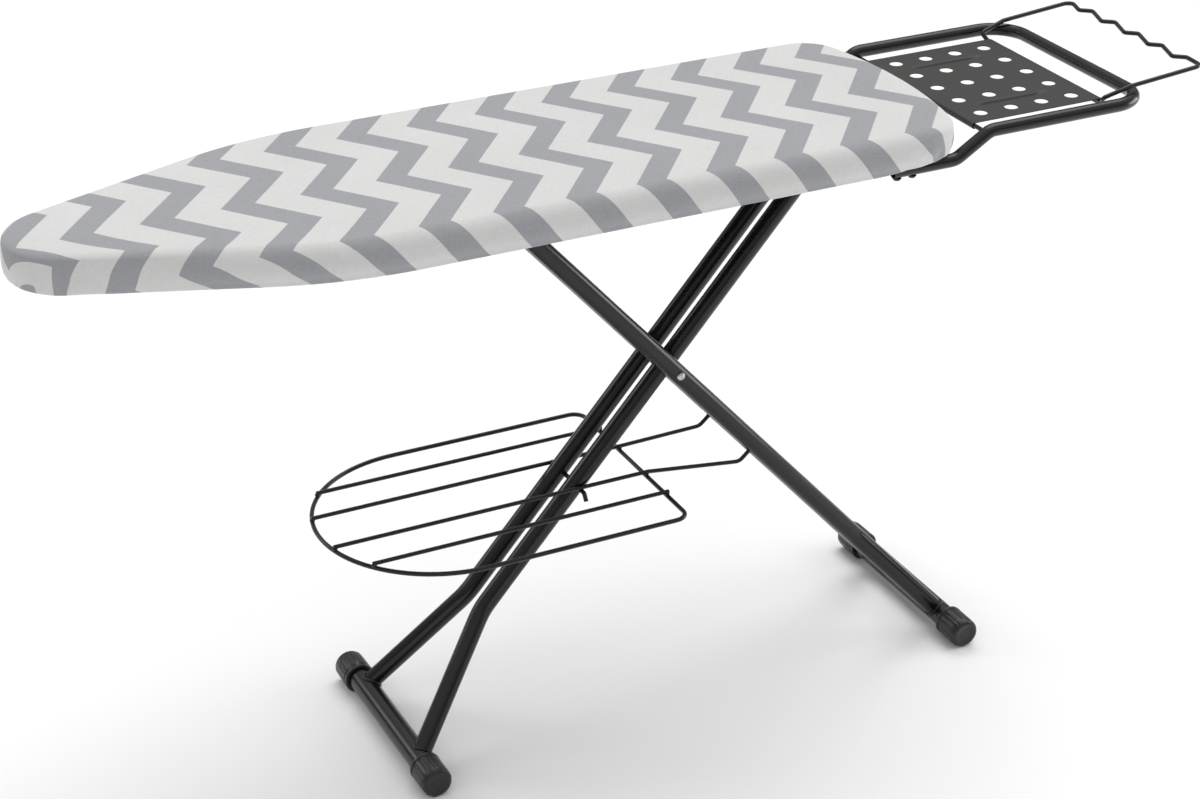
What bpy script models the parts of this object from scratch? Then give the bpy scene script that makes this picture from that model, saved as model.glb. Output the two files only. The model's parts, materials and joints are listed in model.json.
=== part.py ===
"""Folding ironing board with a wire laundry rack and an iron rest.

Blender 4.5, metres, +Z up. +X points to the iron rest and -Y to the near side. X is measured from
the point where the legs cross, and the empty "ironing_board_origin" moves everything by CROSS_X,
so that the world's origin lies on the floor below the middle of the whole object.
"""
import math

import bmesh
import bpy
from mathutils import Matrix, Vector

# Overall layout
CROSS_X = 0.0474
CROSS_Z = 0.475
FOOT_X = 0.404
INNER_FOOT_X = -0.393
FOOT_Z = 0.021
HINGE_Z = 0.740
GAP = 0.0003

# Board
NOSE_TIP_X = -0.827
NOSE_RADIUS = 0.078
SIDE_ARC_X = -0.390
SIDE_ARC_RADIUS = 0.505
HALF_WIDTH = 0.186
HEEL_X = 0.358
HEEL_BOW_RADIUS = 0.640
HEEL_CORNER_RADIUS = 0.058
TOP_Z = 0.800
HEM_Z = 0.750
COVER_THICKNESS = 0.0011
PANEL_Z = 0.7903
PANEL_THICKNESS = 0.001
PAD_Z = 0.7916
PAD_THICKNESS = 0.006
RIM_INSET = 0.008
PAD_INSET = 0.0185
RIM_SHEET = 0.0015
RIM_BOTTOM_Z = 0.756
UNDER_PANEL_Z = 0.7898

# Legs
TUBE_RADIUS = 0.0125
TUBE_WALL = 0.0012
INNER_Y = 0.024
INNER_FOOT_Y = 0.095
INNER_BEND = 0.405
OUTER_Y = 0.057
OUTER_FOOT_Y = 0.090
OUTER_BEND = 0.420
FOOT_BAR_RADIUS = 0.016
CAP_RADIUS = 0.021
CAP_LENGTH = 0.046
FOOT_HALF_LENGTH = 0.160
AXLE_RADIUS = 0.004
HINGE_PIN_RADIUS = 0.008
HINGE_TUBE_RADIUS = 0.010
SLIDE_BAR_RADIUS = 0.005
ROLLER_RADIUS = 0.008
RAIL_Y = 0.080
FLAT_ANGLE = math.radians(4.12)

# Rack
LOOP_RADIUS = 0.003
WIRE_RADIUS = 0.00275
WIRE_Z = 0.3295
RACK_HINGE_Z = 0.3423
LOOP_HALF_WIDTH = 0.163
LOOP_ARC_X = -0.313
LOOP_END_X = -0.035
OUTER_WIRE_Y = 0.100
INNER_WIRE_Y = 0.0402
ROD_RADIUS = 0.003

# Iron rest
REST_TUBE_RADIUS = 0.00875
REST_ARM_Y = 0.165
REST_LOW_Z = 0.7465
REST_HIGH_Z = 0.777
REST_END_X = 0.631
REST_ROD_Z = 0.771
PLATE_SHEET = 0.0012
PLATE_HALF_WIDTH = 0.130
PLATE_START_X = 0.388
PLATE_END_X = 0.5815
HANGER_Z = 0.802

# Latch
LATCH_X = -0.535
LATCH_Z = 0.772
LATCH_TIP_Z = HINGE_Z + SLIDE_BAR_RADIUS + 0.0005
LEVER_X = -0.510
LEVER_Z = 0.762

# Worked out from the above
LEG_ANGLE = math.atan2(CROSS_Z - FOOT_Z, FOOT_X)
LEG_COS = math.cos(LEG_ANGLE)
LEG_SIN = math.sin(LEG_ANGLE)
RACK_HINGE_X = (CROSS_Z - RACK_HINGE_Z) * LEG_COS / LEG_SIN
HINGE_REACH = (HINGE_Z - CROSS_Z) / LEG_SIN
FOOT_REACH = (CROSS_Z - FOOT_Z) / LEG_SIN
HINGE_X = HINGE_REACH * LEG_COS
SLIDE_OPEN_X = -HINGE_X
SLIDE_FLAT_X = HINGE_X - 2 * HINGE_REACH * math.cos(FLAT_ANGLE)
ROD_Z = WIRE_Z - WIRE_RADIUS - ROD_RADIUS - 0.0004
ROD_DROP = 0.005
ROD_REACH = (CROSS_Z - ROD_Z - ROD_DROP * LEG_COS) / LEG_SIN
ROD_X = -ROD_REACH * LEG_COS + ROD_DROP * LEG_SIN
LOOP_Z = WIRE_Z - WIRE_RADIUS - LOOP_RADIUS - GAP

SIDES = ((1, "left"), (-1, "right"))
BODIES = {}
MATERIALS = {}


# ---------------------------------------------------------------- scene
def clear_scene():
    for obj in list(bpy.data.objects):
        bpy.data.objects.remove(obj, do_unlink=True)


def new_collection(name):
    collection = bpy.data.collections.new(name)
    bpy.context.scene.collection.children.link(collection)
    return collection


def new_material(name, colour, roughness, metallic):
    material = bpy.data.materials.new(name)
    material.use_nodes = True
    shader = material.node_tree.nodes["Principled BSDF"]
    shader.inputs["Base Color"].default_value = (*colour, 1)
    shader.inputs["Roughness"].default_value = roughness
    shader.inputs["Metallic"].default_value = metallic
    MATERIALS[name] = material


def new_body(name, location, parent):
    """An empty on the joint's axis, which the pieces of one moving body hang from."""
    empty = bpy.data.objects.new(name + "_body", None)
    empty.empty_display_size = 0.05
    PARTS.objects.link(empty)
    holder = BODIES[parent] if parent else ORIGIN
    empty.parent = holder
    offset = BODY_PLACES.get(parent, Vector())
    BODY_PLACES[name] = Vector(location)
    empty.location = Vector(location) - offset
    BODIES[name] = empty


def piece(name, mesh, body, material):
    """A named part. Its mesh is drawn in the object's frame, and its parent is its body's empty."""
    obj = bpy.data.objects.new(name, mesh)
    PARTS.objects.link(obj)
    obj.parent = BODIES[body]
    obj.matrix_parent_inverse = Matrix.Translation(-BODY_PLACES[body])
    mesh.materials.clear()
    mesh.materials.append(MATERIALS[material])
    mesh.shade_smooth()
    mesh.set_sharp_from_angle(angle=math.radians(35))
    return obj


def cutter(name, mesh):
    obj = bpy.data.objects.new(name, mesh)
    CUTTERS.objects.link(obj)
    obj.parent = ORIGIN
    obj.hide_render = True
    obj.display_type = "WIRE"
    return obj


def cut(obj, *tools):
    for tool in tools:
        boolean = obj.modifiers.new("cut_" + tool.name, "BOOLEAN")
        boolean.operation = "DIFFERENCE"
        boolean.solver = "EXACT"
        boolean.object = tool


def solidify(obj, thickness):
    """Gives an open surface its thickness, inwards."""
    modifier = obj.modifiers.new("wall", "SOLIDIFY")
    modifier.thickness = thickness
    modifier.offset = -1
    modifier.use_even_offset = True


# ---------------------------------------------------------------- shapes
def mesh_from_curve(curve):
    holder = bpy.data.objects.new("curve_holder", curve)
    bpy.context.scene.collection.objects.link(holder)
    bpy.context.view_layer.update()
    evaluated = holder.evaluated_get(bpy.context.evaluated_depsgraph_get())
    mesh = bpy.data.meshes.new_from_object(evaluated)
    bpy.data.objects.remove(holder, do_unlink=True)
    shape = bmesh.new()
    shape.from_mesh(mesh)
    bmesh.ops.remove_doubles(shape, verts=shape.verts, dist=0.000002)
    shape.to_mesh(mesh)
    shape.free()
    return mesh


def swept(points, radius, sides=8, closed=False, caps=True):
    """A round wire, rod or tube skin along a list of points."""
    curve = bpy.data.curves.new("swept", "CURVE")
    curve.dimensions = "3D"
    curve.bevel_depth = radius
    curve.bevel_resolution = (sides - 4) // 2
    curve.use_fill_caps = caps and not closed
    spline = curve.splines.new("POLY")
    spline.points.add(len(points) - 1)
    for knot, point in zip(spline.points, points):
        knot.co = (*point, 1)
    spline.use_cyclic_u = closed
    return mesh_from_curve(curve)


def flat_plate(loops, z, thickness):
    """A plate lying flat: the first loop of (x, y) points is its outline, the rest are holes."""
    curve = bpy.data.curves.new("plate", "CURVE")
    curve.dimensions = "2D"
    curve.fill_mode = "BOTH"
    curve.extrude = thickness / 2
    for loop in loops:
        spline = curve.splines.new("POLY")
        spline.points.add(len(loop) - 1)
        for knot, (x, y) in zip(spline.points, loop):
            knot.co = (x, y, 0, 1)
        spline.use_cyclic_u = True
    mesh = mesh_from_curve(curve)
    mesh.transform(Matrix.Translation((0, 0, z)))
    return mesh


def upright_plate(loops, y, thickness):
    """A plate standing across Y, from loops of (x, z) points."""
    mesh = flat_plate(loops, 0, thickness)
    mesh.transform(Matrix.Translation((0, y, 0)) @ Matrix.Rotation(math.pi / 2, 4, "X"))
    return mesh


def circle(x, y, radius, sides):
    step = 2 * math.pi / sides
    return [(x + radius * math.cos(step * i), y + radius * math.sin(step * i)) for i in range(sides)]


def turned(profile, x, y, z, side=1, sides=16):
    """A turned piece on an axis along Y, open or closed, from (radius, distance outwards) points."""
    mesh = bpy.data.meshes.new("profile")
    on_axis = profile[0][0] == 0
    edges = [(i, i + 1) for i in range(len(profile) - 1)]
    if not on_axis:
        edges.append((len(profile) - 1, 0))
    mesh.from_pydata([(radius, 0, -distance) for radius, distance in profile], edges, [])
    holder = bpy.data.objects.new("turned_holder", mesh)
    bpy.context.scene.collection.objects.link(holder)
    screw = holder.modifiers.new("turn", "SCREW")
    screw.steps = sides
    screw.render_steps = sides
    screw.use_merge_vertices = True
    screw.merge_threshold = 0.00001
    bpy.context.view_layer.update()
    evaluated = holder.evaluated_get(bpy.context.evaluated_depsgraph_get())
    result = bpy.data.meshes.new_from_object(evaluated)
    bpy.data.objects.remove(holder, do_unlink=True)
    turn = Matrix.Rotation(side * math.pi / 2, 4, "X")
    result.transform(Matrix.Translation((x, y, z)) @ turn)
    return result


def cylinder(centre, axis, radius, length, sides=24):
    mesh = bpy.data.meshes.new("cylinder")
    shape = bmesh.new()
    place = Matrix.Translation(centre) @ Vector(axis).to_track_quat("Z", "Y").to_matrix().to_4x4()
    bmesh.ops.create_cone(
        shape, cap_ends=True, segments=sides, radius1=radius, radius2=radius, depth=length, matrix=place
    )
    shape.to_mesh(mesh)
    shape.free()
    return mesh


def block(low, high, matrix=None):
    """A box between two corners, optionally turned by a matrix."""
    mesh = bpy.data.meshes.new("block")
    shape = bmesh.new()
    low, high = Vector(low), Vector(high)
    size = Matrix.Diagonal((*(high - low), 1))
    bmesh.ops.create_cube(shape, size=1, matrix=Matrix.Translation((low + high) / 2) @ size)
    shape.to_mesh(mesh)
    shape.free()
    if matrix:
        mesh.transform(matrix)
    return mesh


def rounded(corners, radius, closed=False, turn=math.radians(20)):
    """Corner points joined by straight runs, with each corner turned into an arc. radius may be a list."""
    corners = [Vector(corner) for corner in corners]
    radii = radius if isinstance(radius, list) else [radius] * len(corners)
    path = []
    for i, corner in enumerate(corners):
        if not closed and i in (0, len(corners) - 1):
            path.append(corner)
            continue
        before = (corners[i - 1] - corner).normalized()
        after = (corners[(i + 1) % len(corners)] - corner).normalized()
        half = before.angle(after) / 2
        bend = math.pi - 2 * half
        centre = corner + (before + after).normalized() * radii[i] / math.sin(half)
        start = corner + before * radii[i] / math.tan(half) - centre
        axis = after.cross(before).normalized()
        steps = max(2, math.ceil(bend / turn))
        for k in range(steps + 1):
            path.append(centre + Matrix.Rotation(bend * k / steps, 3, axis) @ start)
    return path


def strip_outline(path, thickness):
    """The outline of a bent sheet, from the (x, z) points along its middle."""
    left, right = [], []
    for i, point in enumerate(path):
        ahead = Vector(path[min(i + 1, len(path) - 1)]) - Vector(path[max(i - 1, 0)])
        normal = Vector((-ahead.y, ahead.x)).normalized() * thickness / 2
        left.append(tuple(Vector(point) + normal))
        right.append(tuple(Vector(point) - normal))
    return left + right[::-1]


# ---------------------------------------------------------------- board
def arc_points(x, y, radius, start, end, steps):
    span = (end - start) / steps
    return [
        (x + radius * math.cos(start + span * i), y + radius * math.sin(start + span * i))
        for i in range(steps + 1)
    ]


def plan_outline(inset):
    """The board's outline from above, moved inwards by inset: nose arc, taper, side, heel corner, bow."""
    nose_x = NOSE_TIP_X + NOSE_RADIUS
    side_y = HALF_WIDTH - SIDE_ARC_RADIUS
    run = math.hypot(SIDE_ARC_X - nose_x, side_y)
    taper = math.asin((SIDE_ARC_RADIUS - NOSE_RADIUS) / run) - math.atan2(-side_y, SIDE_ARC_X - nose_x)
    corner_y = HALF_WIDTH - HEEL_CORNER_RADIUS
    corner_turn = math.asin(corner_y / (HEEL_BOW_RADIUS - HEEL_CORNER_RADIUS))
    bow_x = HEEL_X - HEEL_BOW_RADIUS
    corner_x = bow_x + (HEEL_BOW_RADIUS - HEEL_CORNER_RADIUS) * math.cos(corner_turn)
    quarter = math.pi / 2
    half = arc_points(nose_x, 0, NOSE_RADIUS - inset, math.pi, quarter + taper, 7)
    half += arc_points(SIDE_ARC_X, side_y, SIDE_ARC_RADIUS - inset, quarter + taper, quarter, 4)
    half += arc_points(corner_x, corner_y, HEEL_CORNER_RADIUS - inset, quarter, corner_turn, 6)
    half += arc_points(bow_x, 0, HEEL_BOW_RADIUS - inset, corner_turn, 0, 3)[1:]
    mirrored = [(x, -y) for x, y in half[1:-1]]
    return half[::-1] + mirrored


def half_width_at(x, inset):
    """How far the outline reaches sideways at x."""
    points = [point for point in plan_outline(inset) if point[1] >= -0.00001]
    for (x1, y1), (x2, y2) in zip(points, points[1:]):
        if min(x1, x2) <= x <= max(x1, x2) and x1 != x2:
            return y1 + (y2 - y1) * (x - x1) / (x2 - x1)
    return 0


def ring_shell(profile, closed_top):
    """A sheet that follows the outline: each (inset, z) of the profile is one ring."""
    points, faces = [], []
    for inset, z in profile:
        points += [(x, y, z) for x, y in plan_outline(inset)]
    count = len(points) // len(profile)
    for ring in range(len(profile) - 1):
        for i in range(count):
            upper, lower = ring * count, (ring + 1) * count
            j = (i + 1) % count
            faces.append((upper + i, lower + i, lower + j, upper + j))
    if closed_top:
        faces.append(tuple(range(count)))
    mesh = bpy.data.meshes.new("shell")
    mesh.from_pydata(points, [], faces)
    shape = bmesh.new()
    shape.from_mesh(mesh)
    bmesh.ops.recalc_face_normals(shape, faces=shape.faces)
    shape.to_mesh(mesh)
    shape.free()
    return mesh


def make_cover():
    profile = [
        (0.022, TOP_Z), (0.0145, TOP_Z - 0.0017), (0.0079, TOP_Z - 0.0065), (0.0030, TOP_Z - 0.0140),
        (0.0004, TOP_Z - 0.0228), (0, TOP_Z - 0.030), (0, HEM_Z + 0.006), (0.0018, HEM_Z + 0.0018), (0.006, HEM_Z), (0.034, HEM_Z),
    ]
    cover = piece("cover", ring_shell(profile, True), "board", "cover_cotton")
    solidify(cover, COVER_THICKNESS)
    for side, label in SIDES:
        low = (0.224, side * REST_ARM_Y - 0.0145, HEM_Z - 0.010)
        high = (HEEL_X + 0.010, side * REST_ARM_Y + 0.0145, HEM_Z + 0.010)
        cut(cover, cutter("arm_notch_" + label, block(low, high)))


def make_pad():
    pad = piece("pad", flat_plate([plan_outline(PAD_INSET)], PAD_Z + PAD_THICKNESS / 2, PAD_THICKNESS),
                "board", "pad_foam")
    bevel = pad.modifiers.new("soft_edge", "BEVEL")
    bevel.width = 0.0024
    bevel.segments = 2
    bevel.limit_method = "ANGLE"
    bevel.angle_limit = math.radians(60)


def vent_holes():
    holes = []
    for column in range(12):
        x = -0.740 + 0.093 * column
        for row in range(4):
            y = -0.117 + 0.078 * row
            if abs(y) + 0.028 < half_width_at(x - 0.012, RIM_INSET):
                holes.append(circle(x, y, 0.009, 8))
    return holes


def make_panel():
    loops = [plan_outline(RIM_INSET)] + vent_holes()
    piece("top_panel", flat_plate(loops, PANEL_Z + PANEL_THICKNESS / 2, PANEL_THICKNESS),
          "board", "black_powder_coat")
    rim_profile = [(0.022, PANEL_Z - GAP), (RIM_INSET, PANEL_Z - GAP), (RIM_INSET, RIM_BOTTOM_Z)]
    rim = piece("edge_rim", ring_shell(rim_profile, False), "board", "black_powder_coat")
    solidify(rim, RIM_SHEET)


def make_braces():
    """Inverted channels across the board, between the rim's walls."""
    for name, x in (("brace_nose", -0.620), ("brace_middle", -0.110), ("brace_heel", 0.160)):
        low, half = 0.774, 0.014
        top = PANEL_Z - RIM_SHEET * 1.5 - 3 * GAP
        path = [(x - half, low), (x - half, top), (x + half, top), (x + half, low)]
        outline = strip_outline(path, RIM_SHEET)
        reach = half_width_at(x - half, RIM_INSET) - RIM_SHEET - 0.004
        piece(name, upright_plate([outline], 0, 2 * reach), "board", "black_powder_coat")


def make_rails():
    """Upright plates whose long slot the slide bar's rollers travel in."""
    low, high = HINGE_Z - 0.012, UNDER_PANEL_Z
    start, end = SLIDE_FLAT_X - 0.020, SLIDE_OPEN_X + 0.020
    outline = [
        (start + 0.006, low), (end - 0.006, low), (end, low + 0.006),
        (end, high), (start, high), (start, low + 0.006),
    ]
    radius = ROLLER_RADIUS + 0.0004
    slot = arc_points(SLIDE_OPEN_X, HINGE_Z, radius, -math.pi / 2, math.pi / 2, 6)
    slot += arc_points(SLIDE_FLAT_X, HINGE_Z, radius, math.pi / 2, 1.5 * math.pi, 6)
    for side, label in SIDES:
        mesh = upright_plate([outline, slot], side * RAIL_Y, 0.0025)
        piece("height_rail_" + label, mesh, "board", "black_powder_coat")


def make_hinge():
    """Two brackets below the panel with the pin that the inner legs turn on."""
    top = UNDER_PANEL_Z
    tongue = arc_points(HINGE_X, HINGE_Z, 0.012, math.pi, 2 * math.pi, 6)
    outline = tongue + [(HINGE_X + 0.012, 0.752), (HINGE_X + 0.032, 0.776), (HINGE_X + 0.032, top),
                        (HINGE_X - 0.032, top), (HINGE_X - 0.032, 0.776), (HINGE_X - 0.012, 0.752)]
    hole = circle(HINGE_X, HINGE_Z, HINGE_PIN_RADIUS + GAP, 16)
    for side, label in SIDES:
        mesh = upright_plate([outline, hole], side * 0.052, 0.0025)
        piece("hinge_bracket_" + label, mesh, "board", "black_powder_coat")
    head, inner, outer = 0.0105, 0.0536, 0.0565
    profile = [(0, -outer), (head - 0.001, -outer), (head, -outer + 0.001), (head, -inner),
               (HINGE_PIN_RADIUS, -inner), (HINGE_PIN_RADIUS, inner), (head, inner),
               (head, outer - 0.001), (head - 0.001, outer), (0, outer)]
    piece("hinge_pin", turned(profile, HINGE_X, 0, HINGE_Z), "board", "bright_steel")


# ---------------------------------------------------------------- iron rest
def make_rest_frame():
    """One bent tube: two arms under the board's heel and the bar across their far ends."""
    corners = []
    for side in (1, -1):
        y = side * REST_ARM_Y
        arm = [(0.246, y, REST_LOW_Z), (0.338, y, REST_LOW_Z), (0.388, y, REST_HIGH_Z),
               (REST_END_X, y, REST_HIGH_Z)]
        corners += arm if side == 1 else arm[::-1]
    radii = [0.026] * 3 + [0.048] * 2 + [0.026] * 3
    frame = piece("rest_frame", swept(rounded(corners, radii), REST_TUBE_RADIUS, 12, caps=False),
                  "board", "black_powder_coat")
    solidify(frame, TUBE_WALL)
    for side, label in SIDES:
        for x, number in ((0.252, 1), (0.274, 2)):
            hole = cylinder((x, side * REST_ARM_Y, REST_LOW_Z), (0, 0, 1), 0.0028, 0.030, 12)
            cut(frame, cutter("bolt_hole_{}_{}".format(label, number), hole))


def make_rest_clamps():
    """Blocks that hang the arms from the board, and the bolts through arm and block."""
    bolt = 1
    for side, label in SIDES:
        y = side * REST_ARM_Y
        clear_z = REST_LOW_Z + REST_TUBE_RADIUS + GAP
        clamp = piece("rest_clamp_" + label,
                      block((0.240, y - 0.011, clear_z), (0.286, y + 0.011, PANEL_Z - 0.0022)),
                      "board", "black_powder_coat")
        bevel = clamp.modifiers.new("soft_edge", "BEVEL")
        bevel.width = 0.0015
        bevel.segments = 1
        for x in (0.252, 0.274):
            name = "clamp_bolt_{}".format(bolt)
            cut(clamp, cutter(name + "_hole", cylinder((x, y, clear_z), (0, 0, 1), 0.0028, 0.030, 12)))
            seat = REST_LOW_Z - REST_TUBE_RADIUS - GAP
            mesh = turned([(0, 0), (0.005, 0), (0.005, 0.003), (0.0025, 0.003), (0.0025, 0.031), (0, 0.031)],
                          0, 0, 0, 1, 12)
            mesh.transform(Matrix.Translation((x, y, seat - 0.003)) @ Matrix.Rotation(math.pi / 2, 4, "X"))
            piece(name, mesh, "board", "bright_steel")
            bolt += 1


def make_rest_plate():
    """The perforated plate, rolled round the support rod and round the hanger wire."""
    roll = LOOP_RADIUS + GAP + PLATE_SHEET / 2
    first = arc_points(PLATE_START_X, REST_ROD_Z, roll, math.radians(300), math.radians(90), 10)
    last = arc_points(PLATE_END_X, REST_ROD_Z, roll, math.radians(90), math.radians(-120), 10)
    outline = strip_outline(first + last, PLATE_SHEET)
    plate = piece("rest_plate", upright_plate([outline], 0, 2 * PLATE_HALF_WIDTH),
                  "board", "plate_grey")
    plate_z = REST_ROD_Z + roll
    for column in range(4):
        for row in range(5):
            place = (0.414 + 0.0467 * column, 0.0515 * (row - 2), plate_z)
            name = "plate_hole_{}_{}".format(column, row)
            cut(plate, cutter(name, cylinder(place, (0, 0, 1), 0.009, 0.010, 12)))
    reach = REST_ARM_Y - REST_TUBE_RADIUS - GAP
    piece("rest_support_rod", cylinder((PLATE_START_X, 0, REST_ROD_Z), (0, 1, 0), LOOP_RADIUS,
                                       2 * reach, 12), "board", "black_powder_coat")


def make_hanger_wire():
    """A closed wire loop: straight in the plate's edge, over the frame's bar, wavy at its end."""
    corners = [(PLATE_END_X, -0.133, REST_ROD_Z), (PLATE_END_X, 0.133, REST_ROD_Z),
               (0.576, 0.143, 0.781), (0.614, 0.147, 0.792), (0.727, 0.147, HANGER_Z)]
    for wave in range(5):
        y = 0.112 - 0.053 * wave
        corners += [(0.715, y, HANGER_Z), (0.7295, y - 0.012, HANGER_Z)]
    corners += [(0.727, -0.147, HANGER_Z), (0.614, -0.147, 0.792), (0.576, -0.143, 0.781)]
    radii = [0.0042] * len(corners)
    radii[4] = radii[-3] = 0.010
    path = rounded(corners, radii, closed=True, turn=math.radians(32))
    piece("hanger_wire", swept(path, LOOP_RADIUS, 8, closed=True), "board", "black_powder_coat")


# ---------------------------------------------------------------- legs
def leg_point(reach, y, lean):
    """A point on a leg, by its distance below the crossing. lean is -1 for the inner pair, 1 for the outer."""
    return Vector((lean * reach * LEG_COS, y, CROSS_Z - reach * LEG_SIN))


def foot_piece(prefix, lean, body):
    x = FOOT_X if lean > 0 else INNER_FOOT_X
    half = FOOT_HALF_LENGTH - 0.010
    skin = swept([(x, -half, FOOT_Z), (x, half, FOOT_Z)], FOOT_BAR_RADIUS, 16, caps=False)
    bar = piece(prefix + "_foot_bar", skin, body, "black_powder_coat")
    solidify(bar, 0.0015)
    end, rim, socket = CAP_LENGTH, CAP_RADIUS, FOOT_BAR_RADIUS + GAP
    profile = [
        (socket, 0), (rim - 0.0005, 0), (rim, 0.001), (rim, 0.005), (rim - 0.0012, 0.006),
        (rim, 0.008), (rim, end - 0.005), (rim - 0.0015, end - 0.0015), (rim - 0.005, end), (0, end),
    ]
    inner = [(0, end - 0.0095), (socket, end - 0.0095)]
    for side, label in SIDES:
        outside = [(radius, distance) for radius, distance in profile]
        loop = inner + outside
        mesh = turned(loop, x, side * (FOOT_HALF_LENGTH - CAP_LENGTH), FOOT_Z, side, 16)
        piece("{}_cap_{}".format(prefix, label), mesh, body, "black_rubber")


def make_inner_legs():
    bar_cut = cutter("inner_foot_seat", cylinder((INNER_FOOT_X, 0, FOOT_Z), (0, 1, 0),
                                                 FOOT_BAR_RADIUS + GAP, 0.300, 32))
    top_cut = cutter("hinge_tube_seat", cylinder((HINGE_X, 0, HINGE_Z), (0, 1, 0),
                                                 HINGE_TUBE_RADIUS + GAP, 0.120, 32))
    axle_cut = cutter("axle_hole", cylinder((0, 0, CROSS_Z), (0, 1, 0), AXLE_RADIUS + GAP, 0.200, 16))
    rod_cut = cutter("rest_rod_hole", cylinder((ROD_X, 0, ROD_Z), (0, 1, 0), ROD_RADIUS + GAP, 0.120, 16))
    for side, label in SIDES:
        corners = [leg_point(-HINGE_REACH + 0.003, side * INNER_Y, -1),
                   leg_point(INNER_BEND, side * INNER_Y, -1),
                   Vector((INNER_FOOT_X, side * INNER_FOOT_Y, FOOT_Z))]
        tube = piece("leg_a_tube_" + label, swept(rounded(corners, 0.080), TUBE_RADIUS, 12, caps=False),
                     "legs_a", "black_powder_coat")
        solidify(tube, TUBE_WALL)
        cut(tube, bar_cut, top_cut, axle_cut, rod_cut)
    ring = [(HINGE_PIN_RADIUS + GAP, 0.0495), (HINGE_PIN_RADIUS + GAP, -0.0495),
            (HINGE_TUBE_RADIUS, -0.0495), (HINGE_TUBE_RADIUS, 0.0495)]
    piece("leg_a_hinge_tube", turned(ring, HINGE_X, 0, HINGE_Z), "legs_a", "black_powder_coat")
    path = [(ROD_X, 0.054, ROD_Z - 0.0012), (ROD_X, 0.046, ROD_Z), (ROD_X, -0.046, ROD_Z),
            (ROD_X, -0.0495, ROD_Z - 0.0015), (ROD_X, -0.0515, ROD_Z - 0.005), (ROD_X, -0.052, ROD_Z - 0.009)]
    piece("rack_rest_rod", swept(path, ROD_RADIUS, 12), "legs_a", "black_powder_coat")
    foot_piece("leg_a", -1, "legs_a")


def make_outer_legs():
    bar_cut = cutter("outer_foot_seat", cylinder((FOOT_X, 0, FOOT_Z), (0, 1, 0),
                                                 FOOT_BAR_RADIUS + GAP, 0.300, 32))
    slide_cut = cutter("slide_bar_hole", cylinder((SLIDE_OPEN_X, 0, HINGE_Z), (0, 1, 0),
                                                  SLIDE_BAR_RADIUS + GAP, 0.180, 16))
    axle_cut = bpy.data.objects["axle_hole"]
    place = Matrix.Translation((RACK_HINGE_X, 0, RACK_HINGE_Z)) @ Matrix.Rotation(LEG_ANGLE, 4, "Y")
    for side, label in SIDES:
        corners = [leg_point(-HINGE_REACH - 0.013, side * OUTER_Y, 1),
                   leg_point(OUTER_BEND, side * OUTER_Y, 1),
                   leg_point(FOOT_REACH, side * OUTER_FOOT_Y, 1)]
        tube = piece("leg_b_tube_" + label, swept(rounded(corners, 0.080), TUBE_RADIUS, 12, caps=False),
                     "legs_b", "black_powder_coat")
        solidify(tube, TUBE_WALL)
        y = side * OUTER_Y
        slot = block((-0.018, y - 0.00325, -0.020), (0.0035, y + 0.00325, -0.005), place)
        cut(tube, bar_cut, slide_cut, axle_cut, cutter("rack_slot_" + label, slot))
    foot_piece("leg_b", 1, "legs_b")


def make_slide_bar():
    head, inner, outer = 0.0075, 0.0845, 0.0875
    profile = [(0, -outer), (head - 0.001, -outer), (head, -outer + 0.001), (head, -inner),
               (SLIDE_BAR_RADIUS, -inner), (SLIDE_BAR_RADIUS, inner), (head, inner),
               (head, outer - 0.001), (head - 0.001, outer), (0, outer)]
    piece("slide_bar", turned(profile, SLIDE_OPEN_X, 0, HINGE_Z), "legs_b", "bright_steel")
    bore = SLIDE_BAR_RADIUS + GAP
    ring = [(bore, 0.0075), (bore, 0), (ROLLER_RADIUS, 0), (ROLLER_RADIUS, 0.0075)]
    for side, label in SIDES:
        mesh = turned(ring, SLIDE_OPEN_X, side * 0.0765, HINGE_Z, side)
        piece("slide_roller_" + label, mesh, "legs_b", "nylon")


def make_pivot():
    """The axle through all four tubes, with domed heads, and its spacers."""
    seat = OUTER_Y + TUBE_RADIUS + GAP
    head = 0.0055
    dome = [(head, seat), (head, seat + 0.0012), (head - 0.0012, seat + 0.0028), (0.0022, seat + 0.0036)]
    middle = [(AXLE_RADIUS, -seat), (AXLE_RADIUS, seat)]
    lower = [(radius, -distance) for radius, distance in dome[::-1]]
    profile = [(0, -seat - 0.0036)] + lower + middle + dome + [(0, seat + 0.0036)]
    piece("pivot_axle", turned(profile, 0, 0, CROSS_Z), "legs_b", "bright_steel")
    bore, outer = AXLE_RADIUS + GAP, 0.008
    low, high = INNER_Y + TUBE_RADIUS + GAP, OUTER_Y - TUBE_RADIUS - GAP
    for side, label in SIDES:
        ring = [(bore, high - low), (bore, 0), (outer, 0), (outer, high - low)]
        mesh = turned(ring, 0, side * low, CROSS_Z, side)
        piece("pivot_spacer_" + label, mesh, "legs_b", "nylon")
    reach = INNER_Y - TUBE_RADIUS - GAP
    ring = [(bore, reach), (bore, -reach), (outer, -reach), (outer, reach)]
    piece("pivot_spacer_middle", turned(ring, 0, 0, CROSS_Z), "legs_a", "nylon")


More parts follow.
